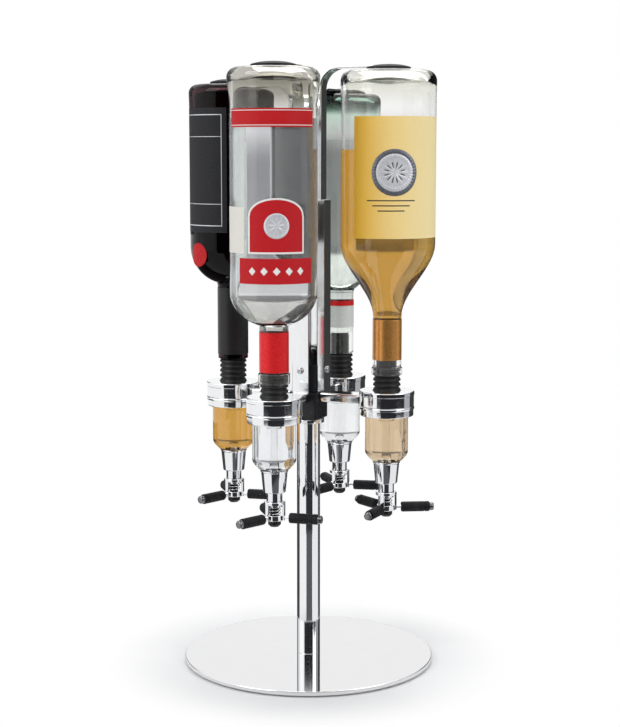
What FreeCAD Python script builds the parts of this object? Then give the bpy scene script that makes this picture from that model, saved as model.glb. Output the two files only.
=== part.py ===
import FreeCAD, Part
import math
import os
import Sketcher

# Rotary drinks dispenser: four upturned bottles on a turning hub, each with a spring-loaded
# measure that a glass pushes open. Millimetres, +Z up, the origin under the middle of the base.

doc = FreeCAD.newDocument("rotary_dispenser")
sheet = doc.addObject("Spreadsheet::Sheet", "Sizes")


class Size:
    """A length: its number now, and the sheet expression that drives it."""

    def __init__(self, number, text):
        self.number = number
        self.text = text

    def __add__(self, other):
        other = as_size(other)
        return Size(self.number + other.number, "(%s + %s)" % (self.text, other.text))

    def __sub__(self, other):
        other = as_size(other)
        return Size(self.number - other.number, "(%s - %s)" % (self.text, other.text))

    def __mul__(self, factor):
        return Size(self.number * factor, "(%s * %.9f)" % (self.text, factor))

    def __truediv__(self, factor):
        return self * (1.0 / factor)

    def __neg__(self):
        return self * -1


def as_size(value):
    """A plain number becomes a Size of that number."""
    if isinstance(value, Size):
        return value
    return Size(value, "(%.9f)" % value)


ZERO = as_size(0)
sheet_rows = []


def drive(name, number):
    """One driving dimension: a named row of the sheet, its number read back from the sheet."""
    row = len(sheet_rows) + 1
    sheet_rows.append(name)
    sheet.set("A%d" % row, name)
    sheet.set("B%d" % row, str(number))
    sheet.setAlias("B%d" % row, name)
    sheet.recompute()
    return Size(float(sheet.get(name)), "Sizes." + name)


# Base and post
foot_diameter = drive("foot_diameter", 222)
foot_thickness = drive("foot_thickness", 1.5)
disc_diameter = drive("disc_diameter", 235)
disc_thickness = drive("disc_thickness", 4)
disc_edge = drive("disc_edge", 1)
bolt_diameter = drive("bolt_diameter", 8)
bolt_head_diameter = drive("bolt_head_diameter", 14)
bolt_length = drive("bolt_length", 20)
bolt_socket = drive("bolt_socket", 5)
post_diameter = drive("post_diameter", 22)
post_wall = drive("post_wall", 1.5)
post_length = drive("post_length", 222.5)
post_plug = drive("post_plug", 22)
spindle_plug = drive("spindle_plug", 28)
spindle_diameter = drive("spindle_diameter", 12)
flange_diameter = drive("flange_diameter", 30)
flange_height = drive("flange_height", 3.7)

# Turning hub
hub_width = drive("hub_width", 28)
hub_height = drive("hub_height", 25.5)
hub_corner = drive("hub_corner", 1.5)
neck_width = drive("neck_width", 24)
neck_height = drive("neck_height", 25.5)
cap_diameter = drive("cap_diameter", 21)
cap_height = drive("cap_height", 14.5)
cap_stem = drive("cap_stem", 15.9)
cap_depth = drive("cap_depth", 5)
circle_radius = drive("circle_radius", 78)

# Bottle arms
channel_width = drive("channel_width", 16)
channel_depth = drive("channel_depth", 7)
channel_wall = drive("channel_wall", 1)
channel_lip = drive("channel_lip", 3)
channel_length = drive("channel_length", 178)
channel_round = drive("channel_round", 3)
strip_thickness = drive("strip_thickness", 2)
strip_bend = drive("strip_bend", 20)
strip_length = drive("strip_length", 254)
strip_reach = drive("strip_reach", 8)
shoe_length = drive("shoe_length", 30)
screw_diameter = drive("screw_diameter", 4)
screw_head = drive("screw_head", 6.4)
screw_head_height = drive("screw_head_height", 2)
screw_level = drive("screw_level", 21)
screw_bite = drive("screw_bite", 4)
arm_pad_diameter = drive("arm_pad_diameter", 40)
arm_pad_edge = drive("arm_pad_edge", 2.2)
arm_pad_crown = drive("arm_pad_crown", 5)
strip_sink = drive("strip_sink", 1.7)

# Measures
ring_diameter = drive("ring_diameter", 50)
ring_wall = drive("ring_wall", 2.95)
ring_height = drive("ring_height", 14)
ring_lid = drive("ring_lid", 1.4)
ring_lip = drive("ring_lip", 0.4)
ring_lip_height = drive("ring_lip_height", 4.5)
ring_round = drive("ring_round", 1)
bracket_height = drive("bracket_height", 9)
bracket_width = drive("bracket_width", 16)
bracket_flare = drive("bracket_flare", 2)
tongue_length = drive("tongue_length", 4)
tongue_width = drive("tongue_width", 10)
tongue_height = drive("tongue_height", 6)
bead_height = drive("bead_height", 3)
band_height = drive("band_height", 6)
band_step = drive("band_step", 0.4)
collar_floor = drive("collar_floor", 4)
chamber_diameter = drive("chamber_diameter", 39.6)
chamber_wall = drive("chamber_wall", 1.8)
chamber_height = drive("chamber_height", 36)
chamber_taper = drive("chamber_taper", 7)
chamber_foot = drive("chamber_foot", 26)
inlet_diameter = drive("inlet_diameter", 6)
spigot_diameter = drive("spigot_diameter", 13)
spigot_height = drive("spigot_height", 3)
spout_top_diameter = drive("spout_top_diameter", 25.2)
spout_rim = drive("spout_rim", 1.8)
spout_low_diameter = drive("spout_low_diameter", 20.4)
spout_height = drive("spout_height", 20.4)
nose_diameter = drive("nose_diameter", 14.4)
nose_height = drive("nose_height", 13.2)
nose_pocket = drive("nose_pocket", 12.8)
nose_pocket_depth = drive("nose_pocket_depth", 7.2)

# Push levers, plungers and springs
lever_drop = drive("lever_drop", 9.8)
lever_ring_height = drive("lever_ring_height", 5)
lever_ring_diameter = drive("lever_ring_diameter", 17.2)
cage_wall = drive("cage_wall", 2.2)
cage_strap = drive("cage_strap", 4)
cage_ring = drive("cage_ring", 3)
cage_rise = drive("cage_rise", 5)
rod_diameter = drive("rod_diameter", 3.4)
rod_reach = drive("rod_reach", 40.5)
button_diameter = drive("button_diameter", 7.4)
button_length = drive("button_length", 4)
grip_start = drive("grip_start", 14)
grip_diameter = drive("grip_diameter", 9.4)
grip_groove = drive("grip_groove", 0.5)
stem_diameter = drive("stem_diameter", 7.6)
nozzle_diameter = drive("nozzle_diameter", 11.6)
nozzle_height = drive("nozzle_height", 6)
nozzle_bore = drive("nozzle_bore", 4)
valve_diameter = drive("valve_diameter", 12)
valve_height = drive("valve_height", 4)
rod_thin = drive("rod_thin", 4)
seal_diameter = drive("seal_diameter", 10)
seal_height = drive("seal_height", 3)
lever_travel = drive("lever_travel", 7)
spring_diameter = drive("spring_diameter", 11.8)
spring_wire = drive("spring_wire", 1)
spring_turns = 3

# Stoppers and bottles
stopper_height = drive("stopper_height", 22)
stopper_diameter = drive("stopper_diameter", 25.6)
stopper_groove = drive("stopper_groove", 0.9)
stopper_foot = drive("stopper_foot", 18)
stopper_plug_height = drive("stopper_plug_height", 20)
stopper_bore = drive("stopper_bore", 6)
stopper_ribs = 5
mouth_bore = drive("mouth_bore", 18.3)
glass_wall = drive("glass_wall", 3)

# Clearances
running_gap = drive("running_gap", 0.05)
fit_gap = drive("fit_gap", 0.05)
slide_gap = drive("slide_gap", 0.3)
rest_gap = drive("rest_gap", 0.3)

# Levels up the post, each from the one below it
disc_top = foot_thickness + disc_thickness
post_top = disc_top + post_length
flange_top = post_top + flange_height
hub_bottom = flange_top + rest_gap
hub_shoulder = hub_bottom + hub_height
hub_top = hub_shoulder + neck_height
screw_height = hub_shoulder + screw_level

# Levels of a measure: the ring's bracket top is level with the hub's shoulder
ring_bottom = hub_shoulder - bracket_height
ring_top = ring_bottom + ring_height
bead_bottom = ring_bottom - fit_gap - bead_height
band_bottom = bead_bottom - band_height
collar_top = ring_top - ring_lid - fit_gap
collar_deck = bead_bottom + collar_floor
chamber_top = bead_bottom - fit_gap
chamber_bottom = band_bottom + fit_gap - chamber_height - chamber_taper
spout_top = chamber_bottom - fit_gap
spout_low = spout_top - spout_height
nose_bottom = spout_low - nose_height
spring_top = nose_bottom + nose_pocket_depth - fit_gap
lever_level = nose_bottom - lever_drop
lever_ring_top = lever_level + lever_ring_height / 2
lever_ring_low = lever_level - lever_ring_height / 2
valve_seat = spout_top + spigot_height + rest_gap
seal_top = chamber_top - lever_travel - rest_gap - rest_gap
mouth_level = ring_top + stopper_height

# Sections
disc_radius = disc_diameter / 2
foot_radius = foot_diameter / 2
post_radius = post_diameter / 2
bolt_radius = bolt_diameter / 2
ring_radius = ring_diameter / 2
ring_bore = ring_radius - ring_wall
chamber_radius = chamber_diameter / 2
stem_radius = stem_diameter / 2
hub_face = hub_width / 2
neck_face = neck_width / 2
channel_back = neck_face + channel_depth
strip_in = neck_face + channel_wall + slide_gap
strip_out = strip_in + strip_thickness
strip_width = channel_width - (channel_wall + slide_gap) * 2

STATIONS = (1, 2, 3, 4)
BEARING = {1: 270, 2: 0, 3: 90, 4: 180}
BOTTLE_TOP = {
    1: drive("clear_bottle_height", 267.5),
    2: drive("amber_bottle_height", 267),
    3: drive("green_bottle_height", 249),
    4: drive("dark_bottle_height", 256.5),
}
LEVER_TURN = {1: 8, 2: 28, 3: 14, 4: 9}

# Shares of a size, for the small shapes that follow a larger one
PAD_SHOULDER_SHARE = 0.6
PAD_SHOULDER_RISE = 0.86
GRIP_GROOVE_SHARE = 0.82
RIB_SHARE = 0.6
PUNT_SHARE = 0.8
FLOOR_SHARE = 1.5
SHOULDER_WALL_SHARE = 0.6

# Each bottle: neck, body and heel radius, then the heights and curves of its profile
BOTTLES = {
    1: dict(neck=12.9, body=38.7, heel=40.9, heel_height=32, heel_round=9, neck_length=44.8,
            shoulder_start=19.7, shoulder_height=23, shoulder_round=34, punt=4),
    2: dict(neck=13.0, body=43.0, heel=43.3, heel_height=24, heel_round=10, neck_length=49,
            shoulder_start=13.6, shoulder_height=56, shoulder_round=62, punt=8),
    3: dict(neck=13.2, body=37.6, heel=38, heel_height=24, heel_round=7, neck_length=62,
            shoulder_start=14.0, shoulder_height=48, shoulder_round=60, punt=10),
    4: dict(neck=14.2, body=39.6, heel=40, heel_height=24, heel_round=8, neck_length=72,
            shoulder_start=15.0, shoulder_height=34, shoulder_round=36, punt=8),
}
pieces = []


def new_body(label, compound=False):
    """A part body with its own label, which names its file."""
    body = doc.addObject("PartDesign::Body", label)
    body.Label = label
    body.AllowCompound = compound
    pieces.append(body)
    return body


def origin_feature(body, role):
    return [o for o in body.Origin.OriginFeatures if o.Role == role][0]


def arc_between(start, end, radius):
    """The arc from start to end: radius above 0 bends left of the chord, below 0 right."""
    chord = end - start
    half = chord.Length / 2
    size = abs(radius)
    rise = size - math.sqrt(max(size * size - half * half, 0))
    side = FreeCAD.Vector(-chord.y, chord.x, 0).normalize()
    if radius > 0:
        side = side * -1
    middle = (start + end) * 0.5 + side * rise
    return start, middle, end


def sketch_on(body, name, plane, loops, shift=None, lift=None):
    """A sketch of closed loops on one of the body's origin planes.

    A point is (x, y), or (x, y, radius, turn) where the edge to the next point is an arc of
    that radius that turns left (turn 1) or right (turn -1). Both coordinates of each point
    and each radius follow the sheet. shift moves the sketch up its own y, lift off its plane.
    """
    sketch = body.newObject("Sketcher::SketchObject", name)
    sketch.AttachmentSupport = [(origin_feature(body, plane), "")]
    sketch.MapMode = "FlatFace"
    if shift is not None:
        sketch.setExpression("AttachmentOffset.Base.y", shift.text)
    if lift is not None:
        sketch.setExpression("AttachmentOffset.Base.z", lift.text)
    for loop in loops:
        if isinstance(loop, Circle):
            draw_circle(sketch, loop)
        else:
            draw_loop(sketch, loop)
    return sketch


def draw_circle(sketch, circle):
    base = sketch.GeometryCount
    middle = FreeCAD.Vector(circle.centre[0].number, circle.centre[1].number, 0)
    up = FreeCAD.Vector(0, 0, 1)
    sketch.addGeometry(Part.Circle(middle, up, circle.radius.number), False)
    hold_point(sketch, (base, 3), "DistanceX", circle.centre[0], -2)
    hold_point(sketch, (base, 3), "DistanceY", circle.centre[1], -1)
    row = sketch.addConstraint(Sketcher.Constraint("Radius", base, circle.radius.number))
    sketch.setExpression("Constraints[%d]" % row, circle.radius.text)


def draw_loop(sketch, points):
    base = sketch.GeometryCount
    count = len(points)
    spots = [FreeCAD.Vector(as_size(p[0]).number, as_size(p[1]).number, 0) for p in points]
    geometry = []
    starts = []
    for i, point in enumerate(points):
        start = spots[i]
        end = spots[(i + 1) % count]
        if len(point) == 2:
            geometry.append(Part.LineSegment(start, end))
            starts.append((1, 2))
        else:
            turn = point[3]
            first, middle, last = arc_between(start, end, point[2].number * turn)
            if turn > 0:
                geometry.append(Part.Arc(first, middle, last))
                starts.append((1, 2))
            else:
                geometry.append(Part.Arc(last, middle, first))
                starts.append((2, 1))
    sketch.addGeometry(geometry, False)
    for i, point in enumerate(points):
        before = (i - 1) % count
        corner = (base + i, starts[i][0])
        sketch.addConstraint(
            Sketcher.Constraint("Coincident", base + before, starts[before][1], *corner)
        )
        hold_point(sketch, corner, "DistanceX", as_size(point[0]), -2)
        hold_point(sketch, corner, "DistanceY", as_size(point[1]), -1)
        if len(point) > 2:
            row = sketch.addConstraint(
                Sketcher.Constraint("Radius", base + i, point[2].number)
            )
            sketch.setExpression("Constraints[%d]" % row, point[2].text)


def hold_point(sketch, corner, kind, value, axis):
    """Hold one coordinate of a corner: on the axis itself, or at a distance from it."""
    if abs(value.number) < 1e-9:
        sketch.addConstraint(Sketcher.Constraint("PointOnObject", corner[0], corner[1], axis))
        return
    row = sketch.addConstraint(
        Sketcher.Constraint(kind, -1, 1, corner[0], corner[1], value.number)
    )
    sketch.setExpression("Constraints[%d]" % row, value.text)


def revolve(body, name, points, shift=None, axis="V_Axis"):
    """A turned piece: the outline on the upright plane, spun about the sketch's axis."""
    sketch = sketch_on(body, name + "_outline", "XZ_Plane", [points], shift)
    feature = body.newObject("PartDesign::Revolution", name)
    feature.Profile = sketch
    feature.ReferenceAxis = (sketch, [axis])
    feature.Angle = 360
    body.Tip = feature
    return feature


def pad(body, name, plane, loops, length, midplane=False, lift=None):
    sketch = sketch_on(body, name + "_outline", plane, loops, None, lift)
    feature = body.newObject("PartDesign::Pad", name)
    feature.Profile = sketch
    feature.setExpression("Length", length.text)
    feature.Midplane = midplane
    body.Tip = feature
    return feature


def pocket(body, name, plane, loops, length=None, midplane=False, lift=None):
    """A cut back from its plane that must take something away: through all, or to a length."""
    doc.recompute()
    volume = body.Shape.Volume
    sketch = sketch_on(body, name + "_outline", plane, loops, None, lift)
    feature = body.newObject("PartDesign::Pocket", name)
    feature.Profile = sketch
    feature.Midplane = midplane
    if length is None:
        feature.Type = "ThroughAll"
    else:
        feature.setExpression("Length", length.text)
    body.Tip = feature
    doc.recompute()
    if body.Shape.Volume > volume - 1e-3:
        raise RuntimeError("%s in %s cuts nothing" % (name, body.Label))
    return feature


def around(body, name, features, count):
    """Copies of features in a ring about the body's upright axis."""
    pattern = body.newObject("PartDesign::PolarPattern", name)
    pattern.Originals = features
    pattern.Axis = (origin_feature(body, "Z_Axis"), [""])
    pattern.Angle = 360
    pattern.Occurrences = count
    body.Tip = pattern
    return pattern


def box_loop(low_x, low_y, high_x, high_y):
    return [(low_x, low_y), (high_x, low_y), (high_x, high_y), (low_x, high_y)]


def polygon_loop(centre_x, centre_y, radius, sides):
    """A regular polygon of that corner radius."""
    loop = []
    for i in range(sides):
        angle = 2 * math.pi * (i + 0.5) / sides
        loop.append((centre_x + radius * math.cos(angle), centre_y + radius * math.sin(angle)))
    return loop


class Circle:
    """A full circle in a sketch."""

    def __init__(self, centre_x, centre_y, radius):
        self.centre = (centre_x, centre_y)
        self.radius = radius


def cut_corner_square(half, corner):
    """A square about the origin with its corners cut."""
    inner = half - corner
    return [
        (half, -inner),
        (half, inner),
        (inner, half),
        (-inner, half),
        (-half, inner),
        (-half, -inner),
        (-inner, -half),
        (inner, -half),
    ]


def place(body, station, out=None, turn=0):
    """Put a piece at a station: turned to its bearing, and moved out to the bottle circle."""
    angle = BEARING[station]
    body.Placement = FreeCAD.Placement(
        FreeCAD.Vector(), FreeCAD.Rotation(FreeCAD.Vector(0, 0, 1), angle + turn)
    )
    if out is not None:
        along = round(math.cos(math.radians(angle)))
        across = round(math.sin(math.radians(angle)))
        body.setExpression("Placement.Base.x", (out * along).text)
        body.setExpression("Placement.Base.y", (out * across).text)


def base_disc():
    body = new_body("base_disc")
    hole = bolt_radius + fit_gap
    sink = bolt_head_diameter / 2 + fit_gap
    rim = disc_radius - disc_edge
    revolve(body, "disc", [
        (sink, foot_thickness),
        (rim, foot_thickness),
        (disc_radius, foot_thickness + disc_edge),
        (disc_radius, disc_top - disc_edge),
        (rim, disc_top),
        (hole, disc_top),
        (hole, foot_thickness + sink - hole),
    ])


def foot_pad():
    body = new_body("foot_pad")
    bevel = foot_thickness / 3
    revolve(body, "pad", [
        (ZERO, ZERO),
        (foot_radius - bevel, ZERO),
        (foot_radius, bevel),
        (foot_radius, foot_thickness),
        (ZERO, foot_thickness),
    ])


def base_bolt():
    body = new_body("base_bolt")
    head = bolt_head_diameter / 2
    under = foot_thickness
    revolve(body, "bolt", [
        (ZERO, under),
        (head - fit_gap, under),
        (bolt_radius, under + head - fit_gap - bolt_radius),
        (bolt_radius, under + bolt_length),
        (ZERO, under + bolt_length),
    ])
    pocket(
        body, "socket", "XY_Plane",
        [polygon_loop(ZERO, ZERO, bolt_socket / 2 / math.cos(math.pi / 6), 6)],
        foot_thickness * 2 + disc_thickness, True,
    )


def post_tube():
    body = new_body("post_tube")
    hole = bolt_radius + fit_gap
    bore = post_radius - post_wall
    revolve(body, "tube", [
        (hole, disc_top),
        (post_radius, disc_top),
        (post_radius, post_top),
        (bore, post_top),
        (bore, disc_top + post_plug),
        (hole, disc_top + post_plug),
    ])


def spindle():
    body = new_body("spindle")
    plug = post_radius - post_wall - fit_gap
    flange = flange_diameter / 2
    shaft = spindle_diameter / 2
    top = hub_top - cap_depth - rest_gap
    bevel = spindle_diameter / 12
    revolve(body, "turned", [
        (ZERO, post_top - spindle_plug),
        (plug, post_top - spindle_plug),
        (plug, post_top),
        (flange, post_top),
        (flange, flange_top),
        (shaft, flange_top),
        (shaft, top - bevel),
        (shaft - bevel, top),
        (ZERO, top),
    ])


def hub_block():
    body = new_body("hub_block")
    pad(body, "block", "XY_Plane", [cut_corner_square(hub_face, hub_corner)],
        hub_height, False, hub_bottom)
    pad(body, "neck", "XY_Plane", [cut_corner_square(neck_face, hub_corner)],
        neck_height, False, hub_shoulder)
    bore = spindle_diameter / 2 + running_gap
    pocket(body, "bearing", "XY_Plane", [Circle(ZERO, ZERO, bore)], lift=hub_top)
    pocket(body, "cap_seat", "XY_Plane", [Circle(ZERO, ZERO, cap_stem / 2 + fit_gap)],
           cap_depth, False, hub_top)
    level = ring_bottom + (bracket_height - tongue_height) / 2
    slot = pocket(
        body, "tongue_slot", "YZ_Plane",
        [box_loop(-(tongue_width / 2) - fit_gap, level - fit_gap,
                  tongue_width / 2 + fit_gap, level + tongue_height + fit_gap)],
        tongue_length + fit_gap, False, hub_face,
    )
    thread = pocket(
        body, "screw_hole", "YZ_Plane",
        [Circle(ZERO, screw_height, screw_diameter / 2 + fit_gap)],
        screw_bite + fit_gap * 2, False, neck_face,
    )
    around(body, "four_sides", [slot, thread], 4)


def hub_cap():
    body = new_body("hub_cap")
    radius = cap_diameter / 2
    stem = cap_stem / 2
    bevel = cap_diameter / 20
    ring = cap_height / 12
    revolve(body, "cap", [
        (ZERO, hub_top - cap_depth + fit_gap),
        (stem, hub_top - cap_depth + fit_gap),
        (stem, hub_top),
        (radius, hub_top),
        (radius, hub_top + ring),
        (radius - bevel, hub_top + ring),
        (radius - bevel, hub_top + cap_height - bevel, bevel, 1),
        (radius - bevel * 2, hub_top + cap_height),
        (ZERO, hub_top + cap_height),
    ])


def hub_screws():
    body = new_body("hub_screws", compound=True)
    shank = screw_diameter / 2
    head = screw_head / 2
    crown = screw_head_height / 2
    screw = revolve(body, "screw", [
        (neck_face - screw_bite, ZERO),
        (channel_back + screw_head_height, ZERO),
        (channel_back + screw_head_height, head - crown),
        (channel_back + crown, head),
        (channel_back, head),
        (channel_back, shank),
        (neck_face - screw_bite, shank),
    ], shift=screw_height, axis="H_Axis")
    around(body, "four_screws", [screw], 4)


def arm_channel(station):
    body = new_body("arm_channel_%d" % station)
    half = channel_width / 2
    inside = half - channel_wall
    slot = inside - channel_lip
    lip = neck_face + channel_wall
    web = channel_back - channel_wall
    pad(body, "section", "XY_Plane", [[
        (neck_face, slot),
        (lip, slot),
        (lip, inside),
        (web, inside),
        (web, -inside),
        (lip, -inside),
        (lip, -slot),
        (neck_face, -slot),
        (neck_face, -half),
        (channel_back, -half),
        (channel_back, half),
        (neck_face, half),
    ]], channel_length, False, hub_shoulder)
    low = hub_shoulder
    pocket(body, "rounded_corners", "YZ_Plane", [
        [(half, low), (half, low + channel_round, channel_round, -1), (half - channel_round, low)],
        [(-half, low + channel_round), (-half, low),
         (-half + channel_round, low, channel_round, -1)],
    ], lift=channel_back)
    pocket(body, "screw_hole", "YZ_Plane",
           [Circle(ZERO, screw_height, screw_diameter / 2 + fit_gap)], lift=channel_back)
    place(body, station)


def arm_strip(station):
    body = new_body("arm_strip_%d" % station)
    top = bottle_level(station) + rest_gap + strip_sink + strip_thickness
    bend_start = top - strip_bend
    end = circle_radius + strip_reach
    foot = top - strip_length
    back = channel_back - channel_wall - slide_gap
    corner = strip_in + strip_bend
    pad(body, "bent_strip", "XZ_Plane", [[
        (strip_in, foot),
        (back, foot),
        (back, foot + shoe_length),
        (strip_out, foot + shoe_length),
        (strip_out, bend_start, strip_bend - strip_thickness, -1),
        (corner, top - strip_thickness),
        (end, top - strip_thickness),
        (end, top),
        (corner, top, strip_bend, 1),
        (strip_in, bend_start),
    ]], strip_width, True)
    place(body, station)


def arm_pad(station):
    body = new_body("arm_pad_%d" % station)
    low = bottle_level(station) + rest_gap
    radius = arm_pad_diameter / 2
    strip_low = low + strip_sink
    shoulder = radius * PAD_SHOULDER_SHARE
    revolve(body, "disc", [
        (ZERO, low),
        (radius, low),
        (radius, low + arm_pad_edge),
        (shoulder, low + arm_pad_crown * PAD_SHOULDER_RISE),
        (ZERO, low + arm_pad_crown),
    ])
    pocket(body, "strip_slot", "XZ_Plane", [box_loop(
        -radius - strip_reach, strip_low - fit_gap,
        strip_reach + fit_gap, strip_low + strip_thickness + fit_gap,
    )], strip_width + fit_gap * 2, True)
    place(body, station, circle_radius)


def bottle_level(station):
    """The height of the upturned bottle's base."""
    return mouth_level + BOTTLE_TOP[station]


def bracket(station):
    body = new_body("ring_bracket_%d" % station)
    opening = stopper_diameter / 2 + slide_gap
    lip = ring_radius + ring_lip
    lid = ring_top - ring_lid
    revolve(body, "ring", [
        (ring_bore, ring_bottom),
        (ring_radius, ring_bottom),
        (ring_radius, ring_top - ring_lip_height),
        (lip, ring_top - ring_lip_height + ring_lip),
        (lip, ring_top - ring_round),
        (lip - ring_round, ring_top),
        (opening, ring_top),
        (opening, lid),
        (ring_bore, lid),
    ])
    root = hub_face - circle_radius
    tip = -ring_bore - ring_wall / 6
    half = bracket_width / 2
    wide = half + bracket_flare
    pad(body, "arm", "XY_Plane", [[
        (root, -half), (tip, -wide), (tip, wide), (root, half),
    ]], bracket_height, False, ring_bottom)
    pad(body, "tongue", "XY_Plane", [
        box_loop(root - tongue_length, -(tongue_width / 2), root, tongue_width / 2),
    ], tongue_height, False, ring_bottom + (bracket_height - tongue_height) / 2)
    place(body, station, circle_radius)


def measure_collar(station):
    body = new_body("measure_collar_%d" % station)
    band = ring_radius - band_step
    neck = ring_bore - fit_gap
    chamber_hole = chamber_radius + fit_gap
    socket = stopper_foot / 2 + fit_gap
    inlet = inlet_diameter / 2
    deck = collar_deck
    revolve(body, "turned", [
        (chamber_hole, band_bottom),
        (band, band_bottom),
        (band, bead_bottom),
        (ring_radius + ring_lip, bead_bottom),
        (ring_radius + ring_lip, bead_bottom + bead_height),
        (neck, bead_bottom + bead_height),
        (neck, collar_top),
        (socket, collar_top),
        (socket, deck),
        (inlet, deck),
        (inlet, chamber_top + fit_gap),
        (chamber_hole, chamber_top + fit_gap),
    ])
    place(body, station, circle_radius)


def measure_chamber(station):
    body = new_body("measure_chamber_%d" % station)
    foot = chamber_foot / 2
    inner = chamber_radius - chamber_wall
    knee = chamber_bottom + chamber_taper
    floor = chamber_bottom + chamber_wall
    hole = spigot_diameter / 2 + fit_gap
    revolve(body, "shell", [
        (hole, chamber_bottom),
        (foot, chamber_bottom),
        (chamber_radius, knee),
        (chamber_radius, chamber_top),
        (inner, chamber_top),
        (inner, knee + chamber_wall / 2),
        (foot - chamber_wall / 2, floor),
        (hole, floor),
    ])
    place(body, station, circle_radius)


def spout(station):
    body = new_body("spout_%d" % station)
    top = spout_top_diameter / 2
    low = spout_low_diameter / 2
    nose = nose_diameter / 2
    step = spout_rim / 3
    bore = stem_radius + running_gap
    pocket_radius = nose_pocket / 2
    revolve(body, "turned", [
        (bore, spout_top + spigot_height),
        (bore, nose_bottom + nose_pocket_depth),
        (pocket_radius, nose_bottom + nose_pocket_depth),
        (pocket_radius, nose_bottom),
        (nose, nose_bottom),
        (nose, spout_low),
        (low - step, spout_low),
        (low, spout_low + step),
        (top - step, spout_top - spout_rim),
        (top, spout_top - spout_rim + step),
        (top, spout_top),
        (spigot_diameter / 2, spout_top),
        (spigot_diameter / 2, spout_top + spigot_height),
    ])
    place(body, station, circle_radius)


def push_lever(station):
    body = new_body("push_lever_%d" % station)
    outer = lever_ring_diameter / 2
    hole = stem_radius + fit_gap
    revolve(body, "ring", [
        (hole, lever_ring_low), (outer, lever_ring_low),
        (outer, lever_ring_top), (hole, lever_ring_top),
    ])
    guide = nose_diameter / 2 + slide_gap
    cage = guide + cage_wall
    cage_low = nose_bottom + cage_rise - cage_ring
    strap = pad(body, "strap", "XY_Plane", [
        box_loop(guide + cage_wall / 8, -(cage_strap / 2), cage, cage_strap / 2),
    ], cage_low + cage_ring - lever_ring_low, False, lever_ring_low)
    around(body, "straps", [strap], 3)
    revolve(body, "cage_ring", [
        (guide, cage_low), (cage, cage_low),
        (cage, cage_low + cage_ring), (guide, cage_low + cage_ring),
    ])
    rod = rod_diameter / 2
    button = button_diameter / 2
    bevel = button_diameter / 8
    tip = rod_reach + button_length
    arm = revolve(body, "arm", [
        (hole + cage_wall, ZERO),
        (tip, ZERO),
        (tip, button - bevel),
        (tip - bevel, button),
        (rod_reach, button),
        (rod_reach, rod),
        (hole + cage_wall, rod),
    ], shift=lever_level, axis="H_Axis")
    around(body, "arms", [arm], 3)
    place(body, station, circle_radius, LEVER_TURN[station] - BEARING[station])


def lever_grips(station):
    body = new_body("lever_grips_%d" % station, compound=True)
    bore = rod_diameter / 2 + fit_gap
    radius = grip_diameter / 2
    low = radius - grip_groove
    end = rod_reach - fit_gap
    groove = grip_start + (end - grip_start) * GRIP_GROOVE_SHARE
    bevel = grip_diameter / 8
    grip = revolve(body, "grip", [
        (grip_start, bore),
        (end, bore),
        (end, radius - bevel),
        (end - bevel, radius),
        (groove + grip_groove, radius),
        (groove, low),
        (groove - grip_groove, radius),
        (grip_start, radius),
    ], shift=lever_level, axis="H_Axis")
    around(body, "grips", [grip], 3)
    place(body, station, circle_radius, LEVER_TURN[station] - BEARING[station])


def plunger(station):
    body = new_body("plunger_%d" % station)
    nozzle = nozzle_diameter / 2
    bore = nozzle_bore / 2
    low = lever_ring_low - nozzle_height
    thin = rod_thin / 2
    valve = valve_diameter / 2
    seal = seal_diameter / 2
    revolve(body, "turned", [
        (ZERO, lever_ring_low),
        (bore, lever_ring_low),
        (bore, low),
        (nozzle - bore / 2, low),
        (nozzle, low + bore / 2),
        (nozzle, lever_ring_low - fit_gap),
        (stem_radius, lever_ring_low - fit_gap),
        (stem_radius, valve_seat),
        (valve, valve_seat),
        (valve, valve_seat + valve_height),
        (thin, valve_seat + valve_height),
        (thin, seal_top - seal_height),
        (seal, seal_top - seal_height),
        (seal, seal_top),
        (ZERO, seal_top),
    ])
    place(body, station, circle_radius)


def stopper(station):
    body = new_body("stopper_%d" % station)
    bore = stopper_bore / 2
    foot = stopper_foot / 2
    radius = stopper_diameter / 2
    root = radius - stopper_groove
    low = collar_deck + fit_gap
    seat = ring_top - ring_lid
    pitch = (mouth_level - seat) / stopper_ribs
    outline = [(bore, low), (foot, low), (foot, seat)]
    for rib in range(stopper_ribs):
        level = seat + pitch * rib
        outline.append((radius, level))
        outline.append((radius, level + pitch * RIB_SHARE))
        if rib < stopper_ribs - 1:
            outline.append((root, level + pitch))
    outline.append((radius, mouth_level))
    plug = mouth_bore / 2 - fit_gap
    top = mouth_level + stopper_plug_height
    outline += [
        (plug, mouth_level),
        (plug, top - foot / 4),
        (plug - foot / 8, top),
        (bore, top),
    ]
    revolve(body, "moulded", outline)
    place(body, station, circle_radius)


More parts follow.
